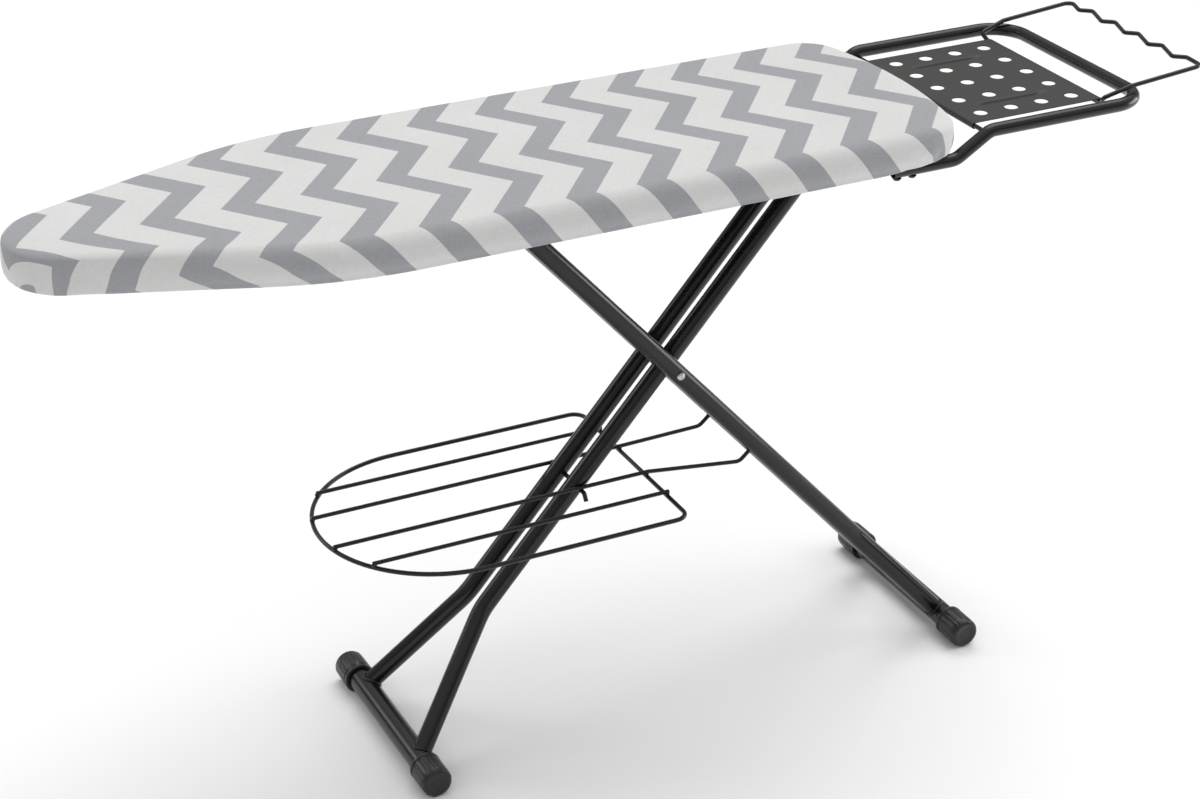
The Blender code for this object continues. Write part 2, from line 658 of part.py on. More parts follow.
# ---------------------------------------------------------------- rack
def make_rack():
    """A wire loop with four wires across it. The two inner ones reach on and hook into the outer legs."""
    half = LOOP_HALF_WIDTH
    arc = arc_points(LOOP_ARC_X, 0, half, math.pi / 2, 1.5 * math.pi, 18)
    corner = 0.018
    path = [Vector((x, y, LOOP_Z)) for x, y in arc]
    for side, start in ((-1, -math.pi / 2), (1, 0)):
        centre_x, centre_y = LOOP_END_X - corner, side * (half - corner)
        turn = arc_points(centre_x, centre_y, corner, start, start + math.pi / 2, 4)
        path += [Vector((x, y, LOOP_Z)) for x, y in turn]
    piece("rack_loop", swept(path, LOOP_RADIUS, 8, closed=True), "rack", "black_powder_coat")
    stub = 0.031
    knee = (RACK_HINGE_X - stub * LEG_SIN, RACK_HINGE_Z - stub * LEG_COS)
    for side, label in SIDES:
        y = side * OUTER_WIRE_Y
        start_x = LOOP_ARC_X - math.sqrt(half ** 2 - OUTER_WIRE_Y ** 2) - 0.001
        straight = [(start_x, y, WIRE_Z), (LOOP_END_X + 0.002, y, WIRE_Z)]
        piece("rack_wire_outer_" + label, swept(straight, WIRE_RADIUS, 8), "rack", "black_powder_coat")
        y = side * INNER_WIRE_Y
        start_x = LOOP_ARC_X - math.sqrt(half ** 2 - INNER_WIRE_Y ** 2) - 0.001
        bent = [(start_x, y, WIRE_Z), (LOOP_END_X + 0.002, y, WIRE_Z),
                (knee[0], side * OUTER_Y, knee[1]), (RACK_HINGE_X, side * OUTER_Y, RACK_HINGE_Z)]
        piece("rack_wire_inner_" + label, swept(rounded(bent, 0.010), WIRE_RADIUS, 8),
              "rack", "black_powder_coat")


# ---------------------------------------------------------------- latch
def make_latch_plate():
    """A bar with one notch for each working height, hanging just over the slide bar."""
    top = 0.767
    nose = arc_points(LATCH_X, LATCH_Z, 0.010, math.radians(60), math.radians(250), 6)
    outline = nose + [(-0.500, 0.752), (-0.440, LATCH_TIP_Z + 0.002)]
    for notch in range(7):
        x = SLIDE_OPEN_X - 0.028 * (6 - notch)
        outline += [(x - 0.0065, LATCH_TIP_Z), (x - 0.0055, LATCH_TIP_Z + 0.006),
                    (x, LATCH_TIP_Z + 0.0085), (x + 0.0055, LATCH_TIP_Z + 0.006),
                    (x + 0.0065, LATCH_TIP_Z)]
    end = SLIDE_OPEN_X + 0.018
    outline += [(end, LATCH_TIP_Z), (end, top - 0.006), (end - 0.006, top), (LATCH_X + 0.030, top)]
    pin_hole = circle(LATCH_X, LATCH_Z, 0.0043, 12)
    lever_hole = circle(LEVER_X, LEVER_Z, 0.0043, 12)
    piece("latch_plate", upright_plate([outline, pin_hole, lever_hole], 0, 0.004), "latch", "bright_steel")


def make_release_lever():
    path = [(LEVER_X, 0.006, LEVER_Z), (LEVER_X, -0.150, LEVER_Z)]
    piece("release_lever", swept(path, 0.004, 12), "latch", "black_powder_coat")
    bore, length = 0.0043, 0.046
    ring = [(bore, 0.0415), (bore, 0), (0.0065, 0), (0.008, 0.003), (0.0072, 0.012), (0.0072, 0.034),
            (0.008, 0.043), (0.0065, length), (0, length), (0, 0.0415)]
    ring = ring[-1:] + ring[:-1]
    piece("lever_grip", turned(ring, LEVER_X, -0.109, LEVER_Z, -1), "latch", "black_rubber")


def make_latch_mount():
    """The brackets and pin that the latch plate turns on, and its return spring."""
    top = UNDER_PANEL_Z
    tongue = arc_points(LATCH_X, LATCH_Z, 0.008, math.pi, 2 * math.pi, 5)
    outline = tongue + [(LATCH_X + 0.016, top - 0.002), (LATCH_X + 0.016, top),
                        (LATCH_X - 0.016, top), (LATCH_X - 0.016, top - 0.002)]
    hole = circle(LATCH_X, LATCH_Z, 0.0043, 12)
    for side, label in SIDES:
        mesh = upright_plate([outline, hole], side * 0.0075, 0.002)
        piece("latch_bracket_" + label, mesh, "board", "black_powder_coat")
    head, inner, outer = 0.006, 0.0089, 0.0112
    profile = [(0, -outer), (head, -outer), (head, -inner), (0.004, -inner),
               (0.004, inner), (head, inner), (head, outer), (0, outer)]
    piece("latch_pin", turned(profile, LATCH_X, 0, LATCH_Z, 1, 12), "board", "bright_steel")
    low, high, turns, steps = 0.7683, 0.7890, 5, 8
    coil = []
    for i in range(turns * steps + 1):
        angle = 2 * math.pi * i / steps
        z = low + (high - low) * i / (turns * steps)
        coil.append((-0.440 + 0.0045 * math.cos(angle), 0.0045 * math.sin(angle), z))
    piece("return_spring", swept(coil, 0.0007, 6), "board", "bright_steel")


# ---------------------------------------------------------------- build
clear_scene()
PARTS = new_collection("ironing_board")
CUTTERS = new_collection("cutters")
ORIGIN = bpy.data.objects.new("ironing_board_origin", None)
ORIGIN.location = (CROSS_X, 0, 0)
PARTS.objects.link(ORIGIN)
BODY_PLACES = {}

new_material("black_powder_coat", (0.030, 0.030, 0.032), 0.42, 0.0)
new_material("plate_grey", (0.095, 0.092, 0.088), 0.45, 0.0)
new_material("bright_steel", (0.62, 0.62, 0.62), 0.28, 1.0)
new_material("black_rubber", (0.028, 0.028, 0.028), 0.70, 0.0)
new_material("nylon", (0.16, 0.16, 0.16), 0.55, 0.0)
new_material("cover_cotton", (0.72, 0.72, 0.73), 0.90, 0.0)
new_material("pad_foam", (0.78, 0.76, 0.70), 0.95, 0.0)

new_body("board", (0, 0, 0), None)
new_body("legs_a", (HINGE_X, 0, HINGE_Z), "board")
new_body("legs_b", (0, 0, CROSS_Z), "legs_a")
new_body("rack", (RACK_HINGE_X, 0, RACK_HINGE_Z), "legs_b")
new_body("latch", (LATCH_X, 0, LATCH_Z), "board")

make_cover()
make_pad()
make_panel()
make_braces()
make_rails()
make_hinge()
make_rest_frame()
make_rest_clamps()
make_rest_plate()
make_hanger_wire()
make_inner_legs()
make_outer_legs()
make_slide_bar()
make_pivot()
make_rack()
make_latch_plate()
make_release_lever()
make_latch_mount()
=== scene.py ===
"""Looks of the folding ironing board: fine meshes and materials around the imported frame.

Metres, +Z up, +X towards the iron rest, -Y the near side, as in the frame. Tubes, wires and turned
pieces are rebuilt smooth along the frame's own axes. The cover is one cloth, drawn round the edge.
"""
import json
import math

import bmesh
import bpy
from mathutils import Matrix, Vector, noise


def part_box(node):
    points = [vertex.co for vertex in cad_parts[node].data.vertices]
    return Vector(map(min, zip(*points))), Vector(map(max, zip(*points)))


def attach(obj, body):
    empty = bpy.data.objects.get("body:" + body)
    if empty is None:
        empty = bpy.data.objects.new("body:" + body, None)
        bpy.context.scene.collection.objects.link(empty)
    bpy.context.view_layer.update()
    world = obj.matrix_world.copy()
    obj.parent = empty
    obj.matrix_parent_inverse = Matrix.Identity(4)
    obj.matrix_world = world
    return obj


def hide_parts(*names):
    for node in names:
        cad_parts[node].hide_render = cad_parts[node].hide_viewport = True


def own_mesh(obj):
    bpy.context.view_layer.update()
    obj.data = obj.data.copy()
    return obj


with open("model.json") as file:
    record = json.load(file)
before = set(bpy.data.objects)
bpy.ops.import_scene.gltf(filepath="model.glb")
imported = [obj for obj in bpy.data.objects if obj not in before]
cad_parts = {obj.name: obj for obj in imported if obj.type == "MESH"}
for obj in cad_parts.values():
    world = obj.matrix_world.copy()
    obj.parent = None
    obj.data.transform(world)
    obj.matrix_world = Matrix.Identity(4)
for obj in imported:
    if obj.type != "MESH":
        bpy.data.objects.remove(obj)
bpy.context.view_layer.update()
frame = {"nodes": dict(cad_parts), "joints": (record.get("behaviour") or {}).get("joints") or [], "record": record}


def middle(node):
    low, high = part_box(node)
    return (low + high) / 2


# Places taken from the frame
HINGE, CROSS, RACK_PIVOT, LATCH_PIVOT = [Vector(joint["pos_m"]) for joint in frame["joints"]]
FOOT_A = middle("leg_a_foot_bar")
FOOT_B = middle("leg_b_foot_bar")
SLIDE = middle("slide_bar")
OFFSET = CROSS.x
DOWN_A = (CROSS - HINGE).normalized()
DOWN_B = (CROSS - SLIDE).normalized()
COVER_LOW, COVER_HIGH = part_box("cover")

# Sizes
TUBE_RADIUS = 0.0125
INNER_Y, INNER_FOOT_Y, INNER_BEND = 0.024, 0.095, 0.405
OUTER_Y, OUTER_FOOT_Y, OUTER_BEND = 0.057, 0.090, 0.420
FOOT_BAR_RADIUS = 0.016
CAP_RADIUS, CAP_LENGTH = 0.021, 0.046
FOOT_HALF_LENGTH = 0.160
WIRE_RADIUS = 0.00275
LOOP_RADIUS = 0.003
REST_TUBE_RADIUS = 0.00875
REST_ARM_Y = 0.165
CAP_BORE = 0.0163
WIRE_Y = {"outer": 0.100, "inner": 0.0402}
TUBE_WALL = 0.0012
FLOOR_HALF = 400
SIDES = ((1, "left"), (-1, "right"))

# Cover: the outline's arcs, the insets of what is under it, and the rounded edge and the hem
NOSE_RADIUS = 0.078
SIDE_ARC_X = -0.390 + OFFSET
SIDE_ARC_RADIUS = 0.505
HEEL_BOW_RADIUS = 0.640
HEEL_CORNER_RADIUS = 0.058
RIM_INSET = 0.008
PAD_INSET = 0.0185
EDGE_INSET, EDGE_DROP = 0.012, 0.024
EDGE_BELLY, EDGE_TURN = 0.020, 130
HEM_RADIUS, HEM_STEP = 0.0058, 0.0056
CLOTH_THICKNESS = 0.0008
TOP_RINGS = 24
SPINE_END = 0.075
HALF_WIDTH = COVER_HIGH.y
TOP_Z, HEM_Z = COVER_HIGH.z, COVER_LOW.z

# Chevron print: period along the board, zigzag depth, half period across, slant, grey share
PRINT_PERIOD = 0.0925
PRINT_DEPTH = 0.056
PRINT_STEP = 0.0745
PRINT_SLANT = 0.045
PRINT_GREY = 0.43
PRINT_BLUR = 0.006
PRINT_STRAY = 0.0011
PRINT_START_X = -0.200 + OFFSET
PRINT_START_Y = 0.1245
# Towards the nose the cloth is drawn: its print shifts along and climbs up the near edge
DRAWN_FROM_X, DRAWN_FULL_X = -0.380, -0.740
DRAWN = 0.0125
CLIMB_FROM_X, CLIMB_FULL_X = -0.400, -0.660
CLIMB = 0.034
CLIMB_AT_EDGE = 0.35

# The panel's and the iron rest's holes and grooves, from the crossing
PANEL_HOLE_RADIUS = 0.009
PANEL_HOLE_START = (-0.740, -0.117)
PANEL_HOLE_STEP = (0.093, 0.078)
PLATE_END_X = 0.5815
PLATE_HOLE_START_X = 0.414
PLATE_HOLE_STEP = (0.0467, 0.0515)
PLATE_SHEET = 0.0012
GROOVES = (-0.077, 0.077)
GROOVE_DEPTH, GROOVE_REACH = 0.0036, 0.0060


# ---------------------------------------------------------------- mesh helpers
def new_object(name, mesh):
    obj = bpy.data.objects.new(name, mesh)
    bpy.context.scene.collection.objects.link(obj)
    return obj


def smooth(obj, angle=40):
    obj.data.shade_smooth()
    obj.data.set_sharp_from_angle(angle=math.radians(angle))
    return obj


def from_points(name, points, faces):
    mesh = bpy.data.meshes.new(name)
    mesh.from_pydata([tuple(point) for point in points], [], faces)
    mesh.validate()
    return smooth(new_object(name, mesh))


def finish_piece(obj, body, slot, *nodes, material=None):
    """Puts a new piece on its body, with its material, in place of the CAD nodes it stands for."""
    obj.data.materials.clear()
    obj.data.materials.append(material or SLOT_MATERIALS[slot])
    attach(obj, body)
    if nodes:
        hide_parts(*nodes)
    return obj


def clean(mesh, merge=None, outwards=True):
    """Joins points that lie within merge of each other, and turns the faces outwards."""
    shape = bmesh.new()
    shape.from_mesh(mesh)
    if merge:
        bmesh.ops.remove_doubles(shape, verts=shape.verts, dist=merge)
    if outwards:
        bmesh.ops.recalc_face_normals(shape, faces=shape.faces)
    shape.to_mesh(mesh)
    shape.free()


def apply_modifiers(obj):
    bpy.context.view_layer.update()
    graph = bpy.context.evaluated_depsgraph_get()
    mesh = bpy.data.meshes.new_from_object(
        obj.evaluated_get(graph), preserve_all_data_layers=True, depsgraph=graph)
    obj.modifiers.clear()
    obj.data = mesh
    return obj


def cut(obj, *tools):
    for tool in tools:
        boolean = obj.modifiers.new("cut", "BOOLEAN")
        boolean.operation = "DIFFERENCE"
        boolean.solver = "EXACT"
        boolean.object = tool
    apply_modifiers(obj)
    for tool in tools:
        bpy.data.objects.remove(tool)
    return smooth(obj)


def join(name, objects):
    """One piece from several objects."""
    shape = bmesh.new()
    for obj in objects:
        obj.data.transform(obj.matrix_world)
        shape.from_mesh(obj.data)
        bpy.data.objects.remove(obj)
    mesh = bpy.data.meshes.new(name)
    shape.to_mesh(mesh)
    shape.free()
    return smooth(new_object(name, mesh))


def rounded(corners, radius, closed=False, turn=math.radians(7)):
    """Corner points joined by straight runs, each corner turned into an arc of its radius."""
    corners = [Vector(corner) for corner in corners]
    radii = radius if isinstance(radius, list) else [radius] * len(corners)
    path = []
    for i, corner in enumerate(corners):
        if not closed and i in (0, len(corners) - 1):
            path.append(corner)
            continue
        before = (corners[i - 1] - corner).normalized()
        after = (corners[(i + 1) % len(corners)] - corner).normalized()
        half = before.angle(after) / 2
        bend = math.pi - 2 * half
        centre = corner + (before + after).normalized() * radii[i] / math.sin(half)
        start = corner + before * radii[i] / math.tan(half) - centre
        axis = after.cross(before).normalized()
        steps = max(3, math.ceil(bend / turn))
        for k in range(steps + 1):
            path.append(centre + Matrix.Rotation(bend * k / steps, 3, axis) @ start)
    return path


def directions(path, closed):
    count = len(path)
    result = []
    for i in range(count):
        ahead = path[(i + 1) % count] if closed or i < count - 1 else path[i]
        behind = path[i - 1] if closed or i > 0 else path[i]
        result.append((ahead - behind).normalized())
    return result


def swept(name, path, radius, sides=24, closed=False, bore=0, ripple=None):
    """A round bar along a path. bore opens it as a tube, and ripple varies its radius."""
    tangents = directions(path, closed)
    side = tangents[0].orthogonal().normalized()
    points = []
    for i, (point, tangent) in enumerate(zip(path, tangents)):
        side = (side - tangent * side.dot(tangent)).normalized()
        other = tangent.cross(side)
        reach = radius * (ripple(i) if ripple else 1)
        for k in range(sides):
            angle = 2 * math.pi * k / sides
            points.append(point + (side * math.cos(angle) + other * math.sin(angle)) * reach)
    count = len(path)
    faces = []
    twist = 0
    if closed:
        target = points[0] - path[0]
        last = [(points[(count - 1) * sides + k] - path[-1]).dot(target) for k in range(sides)]
        twist = last.index(max(last))
    for i in range(count if closed else count - 1):
        low, high = i * sides, ((i + 1) % count) * sides
        shift = 0 if i < count - 1 else -twist
        for k in range(sides):
            j = (k + 1) % sides
            faces.append((low + k, low + j, high + (j + shift) % sides, high + (k + shift) % sides))
    if not closed and not bore:
        for i, inward in ((0, 1), (count - 1, -1)):
            low = i * sides
            ring = list(range(low, low + sides))
            start = len(points)
            tip = path[i] - tangents[i] * inward * radius * 0.16
            for k in ring:
                points.append(tip + (points[k] - path[i]) * 0.84)
            inner = list(range(start, start + sides))
            for k in range(sides):
                j = (k + 1) % sides
                quad = (ring[k], inner[k], inner[j], ring[j])
                faces.append(quad if inward == -1 else quad[::-1])
            faces.append(tuple(inner) if inward == -1 else tuple(inner[::-1]))
    obj = from_points(name, points, faces)
    if bore:
        wall = obj.modifiers.new("wall", "SOLIDIFY")
        wall.thickness = radius - bore
        wall.offset = -1
        apply_modifiers(obj)
        smooth(obj)
    return obj


def turned(name, profile, place, axis=(0, 1, 0), sides=48, facets=None):
    """A turned piece from (radius, distance along the axis) points. facets shapes its radius."""
    turn = Vector((0, 0, 1)).rotation_difference(Vector(axis)).to_matrix()
    loop = profile[0][0] > 0
    points, faces = [], []
    for radius, distance in profile:
        for k in range(sides):
            angle = 2 * math.pi * k / sides
            reach = radius * (facets(angle, distance, radius) if facets else 1)
            local = Vector((reach * math.cos(angle), reach * math.sin(angle), distance))
            points.append(Vector(place) + turn @ local)
    rings = len(profile)
    for i in range(rings if loop else rings - 1):
        low, high = i * sides, ((i + 1) % rings) * sides
        for k in range(sides):
            j = (k + 1) % sides
            faces.append((low + k, low + j, high + j, high + k))
    obj = from_points(name, points, faces)
    clean(obj.data, 0.000001)
    return smooth(obj)


def two_headed(name, head, place):
    """A pin along Y from the profile of one of its two heads."""
    return turned(name, head + [(radius, -distance) for radius, distance in head[::-1]], place)


def arc_points(x, y, radius, start, end, steps):
    span = (end - start) / steps
    return [
        (x + radius * math.cos(start + span * i), y + radius * math.sin(start + span * i))
        for i in range(steps + 1)
    ]


def sheet_plate(name, loops, thickness):
    """A flat plate in X and Y from loops of points: its outline, then its holes."""
    curve = bpy.data.curves.new(name, "CURVE")
    curve.dimensions = "2D"
    curve.fill_mode = "BOTH"
    curve.extrude = thickness / 2
    for loop in loops:
        spline = curve.splines.new("POLY")
        spline.points.add(len(loop) - 1)
        for knot, (x, y) in zip(spline.points, loop):
            knot.co = (x, y, 0, 1)
        spline.use_cyclic_u = True
    holder = new_object(name + "_curve", curve)
    bpy.context.view_layer.update()
    graph = bpy.context.evaluated_depsgraph_get()
    mesh = bpy.data.meshes.new_from_object(holder.evaluated_get(graph))
    bpy.data.objects.remove(holder)
    clean(mesh, 0.000002, outwards=False)
    return smooth(new_object(name, mesh), 30)


def weld_bead(name, start, along, radius, bar, bar_radius, phase):
    """A lumpy bead where a tube meets a bar that lies along Y."""
    along = along.normalized()
    first = along.orthogonal().normalized()
    second = along.cross(first)
    path = []
    steps = 72
    for k in range(steps):
        angle = 2 * math.pi * k / steps
        point = start + (first * math.cos(angle) + second * math.sin(angle)) * (radius + 0.0004)
        gap = point - bar
        a = along.x ** 2 + along.z ** 2
        b = 2 * (gap.x * along.x + gap.z * along.z)
        c = gap.x ** 2 + gap.z ** 2 - (bar_radius + 0.0004) ** 2
        travel = (-b - math.sqrt(max(b * b - 4 * a * c, 0))) / (2 * a)
        path.append(point + along * travel)
    return swept(name, path, 0.0021, 10, closed=True,
                 ripple=lambda i: (1 + 0.16 * math.sin(i * 1.75 + phase)
                                   + 0.07 * math.sin(i * 0.6 + phase)))


# ---------------------------------------------------------------- materials
def put(tree, socket, value):
    """Sets a socket to a number or colour, or links it to another node's output."""
    if isinstance(value, bpy.types.NodeSocket):
        tree.links.new(value, socket)
    elif socket.type == "RGBA":
        socket.default_value = (*value, 1)
    else:
        socket.default_value = value


def add(tree, kind, **values):
    """A new node, with its inputs and settings given by name."""
    node = tree.nodes.new(kind)
    for name, value in values.items():
        if name in node.inputs:
            put(tree, node.inputs[name], value)
        else:
            setattr(node, name, value)
    return node


def calculate(tree, operation, *values):
    """A Math node's result. Each value is a number or another node's output."""
    node = add(tree, "ShaderNodeMath", operation=operation)
    for socket, value in zip(node.inputs, values):
        put(tree, socket, value)
    return node.outputs[0]


def mix_colour(tree, factor, first, second):
    node = add(tree, "ShaderNodeMix", data_type="RGBA", Factor=factor)
    put(tree, node.inputs[6], first)
    put(tree, node.inputs[7], second)
    return node.outputs[2]


def noise_value(tree, place, scale, detail, roughness=0.5):
    texture = add(tree, "ShaderNodeTexNoise", Vector=place, Scale=scale, Detail=detail,
                  Roughness=roughness)
    return texture.outputs["Fac"]


def remap(tree, value, source, target=(0, 1), **settings):
    """A value moved from the source range to the target range."""
    node = add(tree, "ShaderNodeMapRange", Value=value, **settings)
    for name, limit in zip(("From Min", "From Max", "To Min", "To Max"), (*source, *target)):
        node.inputs[name].default_value = limit
    return node.outputs["Result"]


def bumped(tree, height, strength, distance, **below):
    """A bump's normal, over the Normal below it where one is given."""
    node = add(tree, "ShaderNodeBump", Height=height, Strength=strength, Distance=distance, **below)
    return node.outputs["Normal"]


def new_material(name):
    material = bpy.data.materials.new(name)
    material.use_nodes = True
    return material, material.node_tree


def object_place(tree):
    return add(tree, "ShaderNodeTexCoord").outputs["Object"]


def dress(material, values):
    """Sets or links the shader's inputs by name."""
    tree = material.node_tree
    shader = tree.nodes["Principled BSDF"]
    for name, value in values.items():
        put(tree, shader.inputs[name], value)
    return material


def painted(name, colour, pale, roughness, gloss, grain=1100, depth=0.00006):
    """Powder coat: a fine orange-peel bump, slightly uneven gloss and paler rubbed patches."""
    material, tree = new_material(name)
    place = object_place(tree)
    peel = noise_value(tree, place, grain, 2)
    cloudy = noise_value(tree, place, 14, 4)
    return dress(material, {
        "Base Color": mix_colour(tree, calculate(tree, "MULTIPLY", cloudy, peel), colour, pale),
        "Roughness": remap(tree, cloudy, (0.3, 0.7), (roughness - 0.05, roughness + 0.06)),
        "Specular IOR Level": gloss,
        "Normal": bumped(tree, peel, 0.16, depth),
    })


def steel(name, colour, roughness):
    """Zinc-plated steel with fine turned marks and a cloudy film."""
    material, tree = new_material(name)
    place = object_place(tree)
    marks = noise_value(tree, place, 650, 3)
    dull = tuple(value * 0.78 for value in colour)
    return dress(material, {
        "Base Color": mix_colour(tree, noise_value(tree, place, 60, 3), colour, dull),
        "Metallic": 1,
        "Roughness": calculate(tree, "MULTIPLY_ADD", marks, 0.16, roughness - 0.08),
        "Normal": bumped(tree, marks, 0.25, 0.00004),
    })


def moulded(name, colour, pale, roughness):
    """Moulded rubber or nylon: matt, with a fine stipple and paler scuffs."""
    material, tree = new_material(name)
    place = object_place(tree)
    scuff = noise_value(tree, place, 55, 6, 0.7)
    return dress(material, {
        "Base Color": mix_colour(tree, calculate(tree, "POWER", scuff, 2.2), colour, pale),
        "Roughness": roughness,
        "Normal": bumped(tree, noise_value(tree, place, 1700, 2), 0.5, 0.00010),
    })


def felt(name):
    """Felted pad: matted fibres in an off-white."""
    material, tree = new_material(name)
    place = object_place(tree)
    fibre = noise_value(tree, place, 420, 6, 0.75)
    return dress(material, {
        "Base Color": mix_colour(tree, fibre, (0.55, 0.53, 0.48), (0.82, 0.80, 0.75)),
        "Roughness": 0.95,
        "Sheen Weight": 0.3,
        "Normal": bumped(tree, fibre, 0.7, 0.0006),
    })


def chevrons(tree, cloth):
    """0 on the print's grey bands and 1 between them, with edges frayed by the weave."""
    parts = add(tree, "ShaderNodeSeparateXYZ", Vector=cloth).outputs
    along, across = parts["X"], parts["Y"]
    stray = calculate(tree, "MULTIPLY_ADD", noise_value(tree, cloth, 900, 2), PRINT_STRAY,
                      -PRINT_STRAY / 2 - PRINT_START_X)
    from_start = calculate(tree, "SUBTRACT", across, PRINT_START_Y)
    zigzag = calculate(tree, "PINGPONG", from_start, PRINT_STEP)
    slant = calculate(tree, "MULTIPLY", across, PRINT_SLANT)
    lean = calculate(tree, "MULTIPLY_ADD", zigzag, PRINT_DEPTH / PRINT_STEP, slant)
    upright = calculate(tree, "SUBTRACT", calculate(tree, "ADD", along, stray), lean)
    share = calculate(tree, "FRACT", calculate(tree, "DIVIDE", upright, PRINT_PERIOD))
    half = PRINT_GREY / 2
    reach = calculate(tree, "ABSOLUTE", calculate(tree, "SUBTRACT", share, half))
    return remap(tree, reach, (half - PRINT_BLUR, half + PRINT_BLUR),
                 interpolation_type="SMOOTHSTEP")


def cotton(name):
    """White cotton with a grey chevron print. Its UV map holds the flat cloth's own metres."""
    material, tree = new_material(name)
    cloth = add(tree, "ShaderNodeUVMap", uv_map="cloth").outputs["UV"]

    def streaks(scale_x, scale_y):
        drawn = add(tree, "ShaderNodeMapping", Vector=cloth, Scale=(scale_x, scale_y, 1))
        return noise_value(tree, drawn.outputs["Vector"], 1, 3, 0.6)

    weave = calculate(tree, "ADD", streaks(90, 1300), streaks(1300, 90))
    tone = remap(tree, weave, (0.7, 1.3))
    white = mix_colour(tree, tone, (0.640, 0.632, 0.626), (0.752, 0.748, 0.745))
    grey = mix_colour(tree, tone, (0.312, 0.317, 0.337), (0.400, 0.406, 0.430))
    worn = add(tree, "ShaderNodeHueSaturation",
               Color=mix_colour(tree, chevrons(tree, cloth), grey, white),
               Value=remap(tree, noise_value(tree, cloth, 7, 3), (0.3, 0.7), (0.965, 1.02)))
    warp, weft = [
        add(tree, "ShaderNodeTexWave", Vector=cloth, Scale=330, Distortion=0.6,
            bands_direction=direction).outputs["Fac"]
        for direction in "XY"
    ]
    threads = calculate(tree, "MULTIPLY", warp, weft)
    height = calculate(tree, "ADD", threads, calculate(tree, "MULTIPLY", weave, 0.8))
    fine = bumped(tree, height, 0.45, 0.00018)
    return dress(material, {
        "Base Color": worn.outputs["Color"],
        "Roughness": 0.88,
        "Sheen Weight": 0.12,
        "Sheen Roughness": 0.5,
        "Specular IOR Level": 0.25,
        "Normal": bumped(tree, noise_value(tree, cloth, 22, 3), 0.30, 0.0015, Normal=fine),
    })


SLOT_MATERIALS = {
    "black_powder_coat": painted(
        "black_coat", (0.0055, 0.0055, 0.006), (0.014, 0.014, 0.015), 0.22, 0.42),
    "plate_grey": painted(
        "plate_coat", (0.028, 0.0265, 0.0255), (0.050, 0.0475, 0.0455), 0.46, 0.36, 700, 0.00010),
    "bright_steel": steel("zinc_steel", (0.66, 0.66, 0.67), 0.30),
    "black_rubber": moulded("cap_rubber", (0.007, 0.007, 0.0075), (0.024, 0.024, 0.025), 0.34),
    "nylon": moulded("nylon", (0.05, 0.05, 0.05), (0.10, 0.10, 0.10), 0.45),
    "cover_cotton": cotton("chevron_cotton"),
    "pad_foam": felt("pad_felt"),
}
DARK_STEEL = steel("dark_zinc_steel", (0.10, 0.10, 0.105), 0.38)


def paint_frame():
    """Gives every CAD node that stays its procedural material."""
    slots = {entry["node"]: entry["material_slot"] for entry in frame["record"]["subparts"]}
    for name, obj in frame["nodes"].items():
        obj.data.materials.clear()
        obj.data.materials.append(SLOT_MATERIALS[slots[name]])


# ---------------------------------------------------------------- board outline
def plan_outline(inset, fine=1):
    """The outline from above, moved inwards by inset, with arcs about 8 mm a step."""
    nose_x = COVER_LOW.x + NOSE_RADIUS
    heel_x = COVER_HIGH.x
    side_y = HALF_WIDTH - SIDE_ARC_RADIUS
    run = math.hypot(SIDE_ARC_X - nose_x, side_y)
    taper = math.asin((SIDE_ARC_RADIUS - NOSE_RADIUS) / run)
    taper -= math.atan2(-side_y, SIDE_ARC_X - nose_x)
    turn = math.asin((HALF_WIDTH - HEEL_CORNER_RADIUS) / (HEEL_BOW_RADIUS - HEEL_CORNER_RADIUS))
    bow_x = heel_x - HEEL_BOW_RADIUS
    corner_x = bow_x + (HEEL_BOW_RADIUS - HEEL_CORNER_RADIUS) * math.cos(turn)
    corner_y = HALF_WIDTH - HEEL_CORNER_RADIUS
    quarter = math.pi / 2
    nose = arc_points(nose_x, 0, NOSE_RADIUS - inset, math.pi, quarter + taper, 24 * fine)
    side = arc_points(SIDE_ARC_X, side_y, SIDE_ARC_RADIUS - inset, quarter + taper, quarter,
                      18 * fine)
    corner = arc_points(corner_x, corner_y, HEEL_CORNER_RADIUS - inset, quarter, turn, 16 * fine)
    bow = arc_points(bow_x, 0, HEEL_BOW_RADIUS - inset, turn, 0, 18 * fine)
    half = nose + between(nose[-1], side[0], 32 * fine) + side
    half += between(side[-1], corner[0], 84 * fine) + corner + bow[1:]
    mirrored = [(x, -y) for x, y in half[1:-1]]
    return half[::-1] + mirrored


def between(start, end, steps):
    """Evenly spaced points between two points, without them."""
    return [
        (start[0] + (end[0] - start[0]) * i / steps, start[1] + (end[1] - start[1]) * i / steps)
        for i in range(1, steps)
    ]


def ease(value, low, high):
    """0 below low, 1 above high, smooth between."""
    t = min(max((value - low) / (high - low), 0), 1)
    return t * t * (3 - 2 * t)


def near_arm(x, y):
    """1 where the iron rest's arms leave from under the cover, fading to 0 around it."""
    local = x - OFFSET
    return ease(local, 0.215, 0.262) * (1 - ease(local, 0.334, 0.354)) * ease(abs(y), 0.110, 0.140)


def curl(x, y):
    """1 on the nose and heel corners, where the cloth has length to spare, 0 on the sides."""
    local = x - OFFSET
    nose = 1 - ease(local, -0.780, -0.690)
    heel = ease(local, 0.262, 0.290) * ease(abs(y), 0.095, 0.135)
    return max(nose, heel)


def side_bulge(x, normal):
    """The padded edge's share of its belly: full on the long sides, little on nose and heel."""
    local = x - OFFSET
    long_side = ease(local, -0.760, -0.560) * (1 - ease(local, 0.250, 0.320)) * normal.y ** 2
    return 0.25 + 0.75 * long_side


